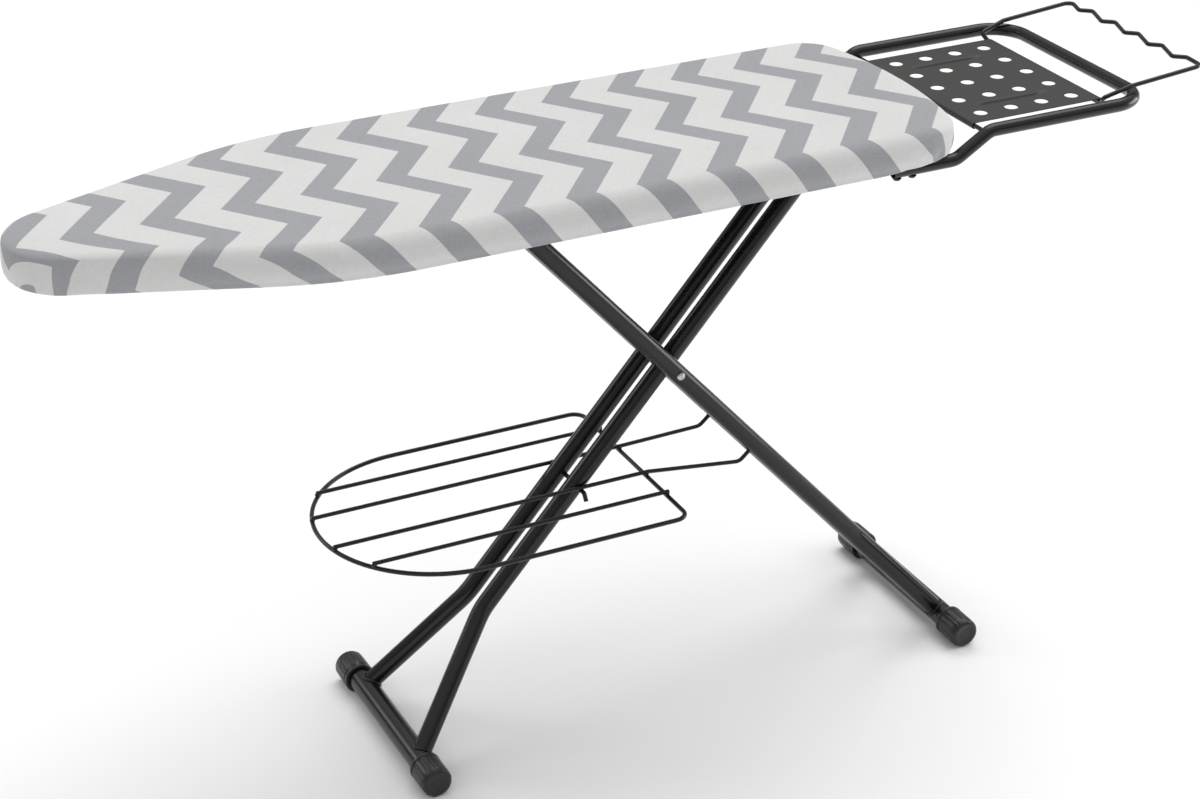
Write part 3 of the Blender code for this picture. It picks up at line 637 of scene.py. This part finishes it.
# ---------------------------------------------------------------- cover
def on_cloth(x, y, normal, climb):
    """Where a point lies on the printed cloth, from its place on a cloth that isn't drawn."""
    local = x - OFFSET
    near = ease(-y, 0, 0.070) * (1 - ease(local, CLIMB_FULL_X, CLIMB_FROM_X)) * climb * CLIMB
    x += DRAWN * (1 - ease(local, DRAWN_FULL_X, DRAWN_FROM_X))
    return x + normal.x * near, y + normal.y * near


def top_rings(edge, normals, points, flats):
    """Rings of the crowned, faintly uneven top, from the middle line out to its edge."""
    low_x, high_x = min(x for x, y in edge), max(x for x, y in edge)
    spine_low, spine_high = COVER_LOW.x + NOSE_RADIUS, COVER_HIGH.x - SPINE_END
    rings = []
    for ring in range(TOP_RINGS):
        share = ring / TOP_RINGS
        row = []
        for (x, y), normal in zip(edge, normals):
            spine_x = spine_low + (x - low_x) / (high_x - low_x) * (spine_high - spine_low)
            px, py = spine_x + (x - spine_x) * share, y * share
            crown = 0.0006 * (1 - share ** 4)
            wave = noise.noise(Vector((px * 9, py * 9, 1.7))) * 0.0005
            wave += noise.noise(Vector((px * 26, py * 26, 4.1))) * 0.00022
            row.append(len(points))
            points.append((px, py, TOP_Z + crown + wave * (1 - share ** 6)))
            flats.append(on_cloth(px, py, normal, CLIMB_AT_EDGE * share ** 7))
        rings.append(row)
    return rings


def edge_profile():
    """(inset, drop) from the top's edge down the skirt and under, and where the hem starts."""
    depth = TOP_Z - HEM_Z
    profile = [(EDGE_INSET - EDGE_BELLY * math.sin(a), -EDGE_DROP * (1 - math.cos(a)))
               for a in (math.radians(EDGE_TURN * k / 16) for k in range(17))]
    profile.append((0.0, HEM_RADIUS - depth))
    hem_start = len(profile)
    profile += [(HEM_RADIUS * (1 - math.cos(a)), HEM_RADIUS - depth - HEM_RADIUS * math.sin(a))
                for a in (math.radians(90 * k / 5) for k in range(1, 6))]
    profile += [(HEM_RADIUS + HEM_STEP * k, -depth) for k in range(1, 5)]
    return profile, hem_start


def edge_rings(edge, outer, normals, points, flats):
    """Rings of the rounded edge, the skirt and the hem, which lifts over the rest's arms."""
    profile, hem_start = edge_profile()
    travel = 0
    previous = profile[0]
    rings = []
    for depth, (inset, drop) in enumerate(profile):
        travel += math.dist(previous, (inset, drop))
        previous = (inset, drop)
        low = ease(-drop, 0.012, 0.046)
        under = ease(inset, 0.004, 0.012) if depth >= hem_start else 0
        climb = CLIMB_AT_EDGE + (1 - CLIMB_AT_EDGE) * ease(travel, 0, 0.036)
        row = []
        for (fx, fy), (ex, ey), normal in zip(edge, outer, normals):
            arm = near_arm(ex, ey)
            loose = curl(ex, ey)
            s = math.atan2(ey, ex + 0.2) * 6 + ex * 8
            folds = noise.noise(Vector((ex * 42, ey * 42, 0.3)))
            folds += 0.6 * math.sin(s * 9.0 + 2 * ey * 40)
            folds += 0.8 * noise.noise(Vector((ex * 95, ey * 95, 5.3 + drop * 9)))
            slack = noise.noise(Vector((ex * 7, ey * 7, 9.2)))
            out = low * (0.0026 * loose * folds + 0.0012 * slack)
            reach = max(inset, 0) + min(inset, 0) * side_bulge(ex, normal)
            if under:
                reach = HEM_RADIUS + (inset - HEM_RADIUS) * (1 - 0.86 * arm)
            raised = 0.0022 + 0.0050 * ease(ex - OFFSET, 0.262, 0.305) + 0.0008 * folds
            lift = low * (arm * raised + 0.0016 * loose * folds + 0.0008 * slack)
            row.append(len(points))
            points.append((ex - normal.x * (reach - out), ey - normal.y * (reach - out),
                           TOP_Z + drop + lift))
            flats.append(on_cloth(fx + normal.x * travel, fy + normal.y * travel, normal, climb))
        rings.append(row)
    return rings


def make_cover():
    """The cloth: a crowned top, a rounded edge, a skirt and a hem turned under with its casing."""
    edge, outer = plan_outline(EDGE_INSET, 2), plan_outline(0, 2)
    normals = [Vector((ox - x, oy - y)).normalized() for (x, y), (ox, oy) in zip(edge, outer)]
    points, flats = [], []
    rings = top_rings(edge, normals, points, flats)
    rings += edge_rings(edge, outer, normals, points, flats)
    faces = []
    for upper, lower in zip(rings, rings[1:]):
        for a, b, c, d in zip(upper, lower, lower[1:] + lower[:1], upper[1:] + upper[:1]):
            faces.append((a, b, c, d))
    mesh = bpy.data.meshes.new("cover_cloth")
    mesh.from_pydata(points, [], faces)
    layer = mesh.uv_layers.new(name="cloth")
    for loop in mesh.loops:
        layer.data[loop.index].uv = flats[loop.vertex_index]
    clean(mesh, 0.00002)
    mesh.validate()
    cover = new_object("cover_cloth", mesh)
    wall = cover.modifiers.new("cloth_thickness", "SOLIDIFY")
    wall.thickness = CLOTH_THICKNESS
    wall.offset = -1
    mesh.shade_smooth()
    finish_piece(cover, "board", "cover_cotton", "cover")
    casing = make_casing([points[i] for i in rings[-1]])


def make_casing(edge):
    """The rolled casing along the hem's inner edge, for the draw cord."""
    path = [Vector((x, y, z + 0.0018)) for x, y, z in edge]
    casing = swept("hem_casing", path, 0.0022, 10, closed=True,
                   ripple=lambda i: 1 + 0.14 * noise.noise(Vector((i * 0.9, 0.2, 0))))
    layer = casing.data.uv_layers.new(name="cloth")
    for loop in casing.data.loops:
        layer.data[loop.index].uv = casing.data.vertices[loop.vertex_index].co.xy
    return finish_piece(casing, "board", "cover_cotton")


def make_pad():
    """The felt slab under the cloth, seen through the panel's holes."""
    low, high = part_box("pad")
    profile = [(0.018, low.z), (0.0015, low.z), (0, low.z + 0.0014), (0, high.z - 0.003),
               (0.0014, high.z - 0.0012), (0.0036, high.z - 0.0003), (0.006, high.z),
               (0.018, high.z)]
    rings = [[Vector((x, y, z)) for x, y in plan_outline(PAD_INSET + inset)]
             for inset, z in profile]
    count = len(rings[0])
    points = [point for ring in rings for point in ring]
    faces = [tuple(range(count))[::-1]]
    for k in range(len(rings) - 1):
        for i in range(count):
            j = (i + 1) % count
            faces.append((k * count + i, k * count + j, (k + 1) * count + j, (k + 1) * count + i))
    faces.append(tuple(range((len(rings) - 1) * count, len(rings) * count)))
    pad = from_points("pad_slab", points, faces)
    clean(pad.data)
    finish_piece(pad, "board", "pad_foam", "pad")


def make_panel():
    """The perforated sheet top, with a pressed lip round every hole."""
    low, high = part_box("top_panel")
    loops = [plan_outline(RIM_INSET)]
    lips = []
    lip = [(0.0088, 0), (0.0098, 0), (0.0098, -0.0004), (0.0092, -0.0014), (0.0088, -0.0012)]
    for column in range(12):
        x = PANEL_HOLE_START[0] + OFFSET + PANEL_HOLE_STEP[0] * column
        for row in range(4):
            y = PANEL_HOLE_START[1] + PANEL_HOLE_STEP[1] * row
            if abs(y) + 0.028 < half_width_at(x - 0.012):
                loops.append(arc_points(x, y, PANEL_HOLE_RADIUS, 0, 2 * math.pi, 32)[:-1])
                lips.append(turned("lip", lip, (x, y, low.z), (0, 0, 1), 32))
    plate = sheet_plate("plate", loops, high.z - low.z)
    plate.data.transform(Matrix.Translation((0, 0, (low.z + high.z) / 2)))
    panel = join("panel_sheet", [plate] + lips)
    finish_piece(panel, "board", "black_powder_coat", "top_panel")


def half_width_at(x):
    points = [point for point in plan_outline(RIM_INSET) if point[1] >= 0]
    nearest = min(points, key=lambda point: abs(point[0] - x))
    return nearest[1]


# ---------------------------------------------------------------- legs
def leg_path(top, down, foot, y, foot_y, bend, overshoot):
    start = top - down * overshoot
    knee = CROSS + down * bend
    corners = [start + Vector((0, y, 0)), knee + Vector((0, y, 0)), foot + Vector((0, foot_y, 0))]
    return rounded(corners, 0.080, turn=math.radians(2.5))


def make_feet(prefix, foot, body):
    profile = [(0, -0.149), (FOOT_BAR_RADIUS, -0.149), (FOOT_BAR_RADIUS, 0.149), (0, 0.149)]
    bar = turned(prefix + "_foot", profile, foot, (0, 1, 0), 48)
    finish_piece(bar, body, "black_powder_coat", prefix + "_foot_bar")
    r, end = CAP_RADIUS, CAP_LENGTH
    outline = [(0, 0.036), (CAP_BORE, 0.036), (CAP_BORE, 0.002), (0.0166, 0), (0.0196, 0),
               (r, 0.0012), (r, 0.0052), (r - 0.0013, 0.0062),
               (r - 0.0013, 0.0076), (r - 0.0002, 0.0088), (r - 0.0002, 0.020), (r - 0.0002, 0.032),
               (r - 0.0006, end - 0.0042), (r - 0.0020, end - 0.0016), (r - 0.0045, end - 0.0003),
               (r - 0.0070, end), (r - 0.0090, end - 0.0012), (0.006, end - 0.0014),
               (0, end - 0.0014)]

    def ribs(angle, distance, radius):
        if radius < r - 0.0008 or distance < 0.008:
            return 1
        return 1 - 0.045 * max(math.cos(angle * 12), 0) ** 6

    for side, label in SIDES:
        rim = foot + Vector((0, side * (FOOT_HALF_LENGTH - CAP_LENGTH), 0))
        cap = turned(f"{prefix}_rubber_{label}", outline, rim, (0, side, 0), 144, ribs)
        finish_piece(cap, body, "black_rubber", f"{prefix}_cap_{label}")


def make_inner_legs():
    for side, label in SIDES:
        path = leg_path(HINGE, DOWN_A, FOOT_A, side * INNER_Y, side * INNER_FOOT_Y, INNER_BEND,
                        -0.002)
        tube = swept("inner_leg_" + label, path, TUBE_RADIUS, 40)
        finish_piece(tube, "legs_a", "black_powder_coat", f"leg_a_tube_{label}")
        bead = weld_bead("inner_foot_weld_" + label, path[-2], path[-1] - path[-2], TUBE_RADIUS,
                         FOOT_A, FOOT_BAR_RADIUS, side)
        finish_piece(bead, "legs_a", "black_powder_coat")
    ring = [(0.0083, -0.0495), (0.0096, -0.0495), (0.010, -0.0491), (0.010, 0.0491),
            (0.0096, 0.0495), (0.0083, 0.0495)]
    hinge = turned("inner_hinge_tube", ring, HINGE)
    finish_piece(hinge, "legs_a", "black_powder_coat", "leg_a_hinge_tube")
    make_feet("leg_a", FOOT_A, "legs_a")
    low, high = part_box("rack_rest_rod")
    x = (low.x + high.x) / 2
    z = high.z - LOOP_RADIUS
    corners = [(x, 0.0535, z - 0.0014), (x, 0.043, z), (x, -0.046, z), (x, -0.0518, z - 0.009)]
    rod = swept("rest_rod", rounded(corners, 0.0045), LOOP_RADIUS, 20)
    finish_piece(rod, "legs_a", "black_powder_coat", "rack_rest_rod")


def make_outer_legs():
    for side, label in SIDES:
        y = side * OUTER_Y
        path = leg_path(SLIDE, DOWN_B, FOOT_B, y, side * OUTER_FOOT_Y, OUTER_BEND, 0.013)
        tube = swept("outer_leg_" + label, path, TUBE_RADIUS, 40, bore=TUBE_RADIUS - TUBE_WALL)
        lean = math.atan2(-DOWN_B.z, DOWN_B.x)
        place = Matrix.Translation(RACK_PIVOT) @ Matrix.Rotation(lean, 4, "Y")
        slot = bpy.data.meshes.new("slot")
        shape = bmesh.new()
        size = Matrix.Diagonal((0.0215, 0.0065, 0.015, 1))
        box = Matrix.Translation((-0.00725, y, -0.0125)) @ size
        bmesh.ops.create_cube(shape, size=1, matrix=box)
        shape.to_mesh(slot)
        shape.free()
        slot.transform(place)
        cut(tube, new_object("slot", slot))
        finish_piece(tube, "legs_b", "black_powder_coat", f"leg_b_tube_{label}")
        bead = weld_bead("outer_foot_weld_" + label, path[-2], path[-1] - path[-2], TUBE_RADIUS,
                         FOOT_B, FOOT_BAR_RADIUS, side + 2)
        finish_piece(bead, "legs_b", "black_powder_coat")
    make_feet("leg_b", FOOT_B, "legs_b")
    head = [(0, 0.0875), (0.0060, 0.0875), (0.0075, 0.0862), (0.0075, 0.0845), (0.005, 0.0845)]
    finish_piece(two_headed("slide_axle", head, SLIDE), "legs_b", "bright_steel", "slide_bar")
    for side, label in SIDES:
        ring = [(0.0053, 0), (0.0074, 0), (0.008, 0.0007), (0.008, 0.0068), (0.0074, 0.0075),
                (0.0053, 0.0075)]
        rail = SLIDE + Vector((0, side * 0.0765, 0))
        roller = turned("roller_" + label, ring, rail, (0, side, 0))
        finish_piece(roller, "legs_b", "nylon", "slide_roller_" + label)


def make_pivot():
    """The axle's domed, dimpled heads and the nylon spacers between the tubes."""
    seat = OUTER_Y + TUBE_RADIUS
    head = [(0, seat + 0.0022), (0.0012, seat + 0.0024), (0.0020, seat + 0.0033),
            (0.0034, seat + 0.0032), (0.0048, seat + 0.0022), (0.0055, seat + 0.0008),
            (0.0055, seat - 0.0004), (0.004, seat - 0.0004)]
    finish_piece(two_headed("pivot_rivet", head, CROSS), "legs_b", "bright_steel", "pivot_axle")
    for node, body in (("pivot_spacer_left", "legs_b"), ("pivot_spacer_right", "legs_b"),
                       ("pivot_spacer_middle", "legs_a")):
        low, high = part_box(node)
        half = (high.y - low.y) / 2
        ring = [(0.0043, -half), (0.0072, -half), (0.008, -half + 0.0008), (0.008, half - 0.0008),
                (0.0072, half), (0.0043, half)]
        place = (CROSS.x, (low.y + high.y) / 2, CROSS.z)
        spacer = turned(node.replace("pivot_", "nylon_"), ring, place)
        finish_piece(spacer, body, "nylon", node)


# ---------------------------------------------------------------- rack
def make_rack():
    """The wire loop, the four wires laid over it, and a small weld at every crossing."""
    low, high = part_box("rack_loop")
    loop_z = (low.z + high.z) / 2
    half = high.y - LOOP_RADIUS
    arc_x = low.x + LOOP_RADIUS + half
    end_x = high.x - LOOP_RADIUS
    corner = 0.018
    quarter = math.pi / 2
    plan = arc_points(arc_x, 0, half, quarter, 3 * quarter, 60)
    for side, start in ((-1, -quarter), (1, 0)):
        y = side * (half - corner)
        plan += arc_points(end_x - corner, y, corner, start, start + quarter, 12)
    path = [Vector((x, y, loop_z)) for x, y in plan]
    loop = swept("rack_ring", path, LOOP_RADIUS, 16, closed=True)
    finish_piece(loop, "rack", "black_powder_coat", "rack_loop")
    wire_z = loop_z + LOOP_RADIUS + WIRE_RADIUS + 0.0001
    welds = []
    weld = [(0, 0.0034), (0.0016, 0.0031), (0.0031, 0.0018), (0.0036, 0), (0.0031, -0.0018),
            (0.0016, -0.0031), (0, -0.0034)]
    for side, label in SIDES:
        for kind, y in WIRE_Y.items():
            start_x = arc_x - math.sqrt(half ** 2 - y ** 2)
            corners = [(start_x - 0.0012, side * y, wire_z), (end_x + 0.0022, side * y, wire_z)]
            if kind == "inner":
                knee = RACK_PIVOT + Vector((DOWN_B.z, 0, -DOWN_B.x)) * 0.031
                corners.append((knee.x, side * OUTER_Y, knee.z))
                corners.append((RACK_PIVOT.x, side * OUTER_Y, RACK_PIVOT.z))
            wire = swept(f"rack_{kind}_{label}", rounded(corners, 0.014), WIRE_RADIUS, 16)
            finish_piece(wire, "rack", "black_powder_coat", f"rack_wire_{kind}_{label}")
            for x in (start_x, end_x):
                place = (x, side * y, loop_z + LOOP_RADIUS)
                welds.append(turned("weld", weld, place, (0, 0, 1), 14))
    finish_piece(join("rack_welds", welds), "rack", "black_powder_coat")


# ---------------------------------------------------------------- iron rest
def make_rest_frame():
    low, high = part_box("rest_frame")
    low_z, high_z = low.z + REST_TUBE_RADIUS, high.z - REST_TUBE_RADIUS
    end_x = high.x - REST_TUBE_RADIUS
    corners = []
    for side in (1, -1):
        y = side * REST_ARM_Y
        arm = [(low.x, y, low_z), (0.338 + OFFSET, y, low_z), (0.388 + OFFSET, y, high_z),
               (end_x, y, high_z)]
        corners += arm if side == 1 else arm[::-1]
    radii = [0.026] * 3 + [0.048] * 2 + [0.026] * 3
    tube = swept("rest_tube", rounded(corners, radii, turn=math.radians(5)), REST_TUBE_RADIUS, 32,
                 bore=REST_TUBE_RADIUS - TUBE_WALL)
    finish_piece(tube, "board", "black_powder_coat", "rest_frame")
    low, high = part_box("rest_support_rod")
    place = (low + high) / 2
    reach = (high.y - low.y) / 2 + 0.001
    rod = swept("rest_rod_across", [place - Vector((0, reach, 0)), place + Vector((0, reach, 0))],
                LOOP_RADIUS, 16)
    finish_piece(rod, "board", "black_powder_coat", "rest_support_rod")
    for number in range(1, 5):
        node = f"clamp_bolt_{number}"
        low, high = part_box(node)
        x, y = (low.x + high.x) / 2, (low.y + high.y) / 2
        length = high.z - low.z
        washer = turned("washer", [(0.0026, 0), (0.0058, 0), (0.0058, 0.0007), (0.0026, 0.0007)],
                        (x, y, low.z + 0.0024), (0, 0, 1), 32)
        hexagon = [(0, 0), (0.0038, 0), (0.0047, 0.0006), (0.0047, 0.0024), (0, 0.0024)]
        head = turned("head", hexagon, (x, y, low.z), (0, 0, 1), 6)
        shank = turned("shank", [(0, 0), (0.0025, 0), (0.0025, length), (0, length)],
                       (x, y, low.z), (0, 0, 1), 24)
        bolt = join(f"bolt_{number}", [washer, head, shank])
        finish_piece(bolt, "board", "bright_steel", node, material=DARK_STEEL)


def make_rest_plate():
    """The perforated plate, with two pressed grooves and both long edges rolled."""
    low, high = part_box("rest_plate")
    rod_low, rod_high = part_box("rest_support_rod")
    rod_z = (rod_low.z + rod_high.z) / 2
    start_x = (rod_low.x + rod_high.x) / 2
    end_x = PLATE_END_X + OFFSET
    top = high.z - PLATE_SHEET / 2
    roll = top - rod_z
    first = arc_points(start_x, rod_z, roll, math.radians(300), math.radians(90), 18)
    last = arc_points(end_x, rod_z, roll, math.radians(90), math.radians(-120), 18)
    flat = between(first[-1], last[0], 66)
    profile = first + flat + last
    lines = [low.y + (high.y - low.y) * k / 84 for k in range(85)]
    lines = [y for y in lines if min(abs(y - groove) for groove in GROOVES) > 0.0066]
    lines = sorted(lines + [groove + 0.0007 * k for groove in GROOVES for k in range(-9, 10)])
    rows = len(lines) - 1
    points, faces = [], []
    for i, (x, z) in enumerate(profile):
        for y in lines:
            dent = 0
            if len(first) <= i < len(first) + len(flat):
                ends = ease(x - OFFSET, 0.415, 0.440) * (1 - ease(x - OFFSET, 0.514, 0.539))
                for groove in GROOVES:
                    dent += ends * (1 - ease(abs(y - groove), 0.0004, GROOVE_REACH))
            points.append((x, y, z - GROOVE_DEPTH * dent))
    for i in range(len(profile) - 1):
        for k in range(rows):
            a = i * (rows + 1) + k
            faces.append((a, a + 1, a + rows + 2, a + rows + 1))
    plate = from_points("rest_plate_sheet", points, faces)
    wall = plate.modifiers.new("wall", "SOLIDIFY")
    wall.thickness = PLATE_SHEET
    wall.offset = 0
    apply_modifiers(plate)
    tools = []
    ring = [(0, 0.004), (0.0125, 0.004), (0.0090, 0.0003), (0.0090, -0.0005), (0.0125, -0.0045),
            (0, -0.0045)]
    for column in range(4):
        x = PLATE_HOLE_START_X + OFFSET + PLATE_HOLE_STEP[0] * column
        for row in range(5):
            y = PLATE_HOLE_STEP[1] * (row - 2)
            tools.append(turned("hole", ring, (x, y, top), (0, 0, 1), 36))
    cut(plate, join("holes", tools))
    smooth(plate, 30)
    finish_piece(plate, "board", "plate_grey", "rest_plate")


def make_hanger():
    """The hanger wire: straight in the plate's edge, over the frame's bar, wavy at its end."""
    low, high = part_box("hanger_wire")
    rod_z = low.z + LOOP_RADIUS
    top_z = high.z - LOOP_RADIUS
    corners = [(PLATE_END_X, -0.133, rod_z), (PLATE_END_X, 0.133, rod_z),
               (0.576, 0.143, rod_z + 0.010), (0.614, 0.147, top_z - 0.010), (0.727, 0.147, top_z)]
    for wave in range(5):
        y = 0.112 - 0.053 * wave
        corners += [(0.715, y, top_z), (0.7295, y - 0.012, top_z)]
    corners += [(0.727, -0.147, top_z), (0.614, -0.147, top_z - 0.010),
                (0.576, -0.143, rod_z + 0.010)]
    corners = [(x + OFFSET, y, z) for x, y, z in corners]
    radii = [0.0042] * 4 + [0.010] + [0.0058] * 10 + [0.010] + [0.0042] * 2
    path = rounded(corners, radii, closed=True, turn=math.radians(10))
    wire = swept("hanger_loop", path, LOOP_RADIUS, 16, closed=True)
    finish_piece(wire, "board", "black_powder_coat", "hanger_wire")


# ---------------------------------------------------------------- underside
def make_hinge():
    head = [(0, 0.0565), (0.0090, 0.0565), (0.0105, 0.0552), (0.0105, 0.0536), (0.008, 0.0536)]
    finish_piece(two_headed("hinge_rivet", head, HINGE), "board", "bright_steel", "hinge_pin")
    head = [(0, 0.0112), (0.0050, 0.0112), (0.006, 0.0103), (0.006, 0.0089), (0.004, 0.0089)]
    rivet = two_headed("latch_rivet", head, LATCH_PIVOT)
    finish_piece(rivet, "board", "bright_steel", "latch_pin")


def make_latch():
    low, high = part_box("return_spring")
    turns, steps = 6, 28
    radius = (high.x - low.x) / 2 - 0.0007
    place = (low + high) / 2
    coil = []
    for i in range(turns * steps + 1):
        angle = 2 * math.pi * i / steps
        share = i / (turns * steps)
        pitch = 0.0009 + (high.z - low.z - 0.0018) * ease(share, 0.04, 0.96)
        around = Vector((radius * math.cos(angle), radius * math.sin(angle), 0))
        coil.append(Vector((place.x, place.y, low.z + pitch)) + around)
    spring = swept("latch_spring", coil, 0.0007, 10)
    finish_piece(spring, "board", "bright_steel", "return_spring")
    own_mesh(spring)
    low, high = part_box("release_lever")
    x, z = (low.x + high.x) / 2, (low.z + high.z) / 2
    rod = swept("lever_rod", [Vector((x, low.y, z)), Vector((x, high.y, z))], 0.004, 20)
    finish_piece(rod, "latch", "black_powder_coat", "release_lever")
    low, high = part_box("lever_grip")
    bore, length = 0.0043, high.y - low.y
    ring = [(0, length - 0.0045), (bore, length - 0.0045), (bore, 0), (0.0068, 0), (0.008, 0.0012),
            (0.008, 0.0030)]
    for k in range(9):
        start = 0.0055 + 0.0038 * k
        ring += [(0.0070, start), (0.0078, start + 0.0010), (0.0078, start + 0.0022),
                 (0.0070, start + 0.0032)]
    ring += [(0.008, length - 0.0035), (0.0072, length - 0.0008), (0.0055, length), (0, length)]
    grip = turned("grip_sleeve", ring, (x, high.y, z), (0, -1, 0))
    finish_piece(grip, "latch", "black_rubber", "lever_grip")


# ---------------------------------------------------------------- stage
def make_floor():
    mesh = bpy.data.meshes.new("floor")
    corners = [(x * FLOOR_HALF, y * FLOOR_HALF, 0) for x, y in ((-1, -1), (1, -1), (1, 1), (-1, 1))]
    mesh.from_pydata(corners, [], [(0, 1, 2, 3)])
    material = new_material("studio_floor")[0]
    dress(material, {"Base Color": (0.96, 0.96, 0.96), "Roughness": 1, "Specular IOR Level": 0})
    mesh.materials.append(material)
    new_object("floor", mesh)


def make_room():
    """A plain white room, brighter overhead than at the walls."""
    world = bpy.data.worlds.new("studio")
    world.use_nodes = True
    tree = world.node_tree
    around = add(tree, "ShaderNodeTexCoord").outputs["Generated"]
    height = add(tree, "ShaderNodeSeparateXYZ", Vector=around).outputs["Z"]
    walls = tree.nodes["Background"]
    put(tree, walls.inputs["Strength"], remap(tree, height, (0, 1), (0.10, 0.98)))
    put(tree, walls.inputs["Color"], (1, 1, 1))
    bpy.context.scene.world = world
    bpy.context.scene.view_settings.view_transform = "Standard"


def add_light(name, kind, energy, aim, up, place=(0, 0, 0), **settings):
    data = bpy.data.lights.new(name, kind)
    data.energy = energy
    for setting, value in settings.items():
        setattr(data, setting, value)
    light = new_object(name, data)
    light.location = place
    light.rotation_euler = Vector(aim).to_track_quat("-Z", up).to_euler()


def make_lights():
    """A wide soft sun, and two boxes whose reflections line the tubes."""
    add_light("soft_key", "SUN", 1.25, (-0.30, -0.30, -1), "Y", angle=math.radians(50))
    for name, place, width, height, power in (("right_box", (2.1, -0.4, 0.8), 0.7, 1.0, 9.0),
                                              ("back_left_box", (-2.3, 2.5, 1.7), 1.0, 1.0, 10.0)):
        aim = Vector((0, 0, 0.4)) - Vector(place)
        add_light(name, "AREA", power, aim, "Z", place, shape="RECTANGLE", size=width,
                  size_y=height)


def make_camera():
    """The product view's camera: 26 degrees round to the left and 27 degrees above level."""
    data = bpy.data.cameras.new("camera")
    data.sensor_width = 36
    data.lens = 78.7
    data.shift_x = -0.0167
    data.shift_y = 0.0052
    camera = new_object("camera", data)
    camera.location = (-1.3974 + OFFSET, -2.7425, 1.9824)
    yaw, pitch, roll = math.radians(26.11), math.radians(27.20), math.radians(-0.29)
    turn = Matrix.Rotation(-yaw, 3, "Z") @ Matrix.Rotation(math.pi / 2 - pitch, 3, "X")
    camera.rotation_euler = (turn @ Matrix.Rotation(roll, 3, "Z")).to_euler()
    bpy.context.scene.camera = camera


# ---------------------------------------------------------------- build
paint_frame()
make_pad()
make_cover()
make_panel()
make_inner_legs()
make_outer_legs()
make_pivot()
make_rack()
make_rest_frame()
make_rest_plate()
make_hanger()
make_hinge()
make_latch()
make_floor()
make_room()
make_lights()
make_camera()
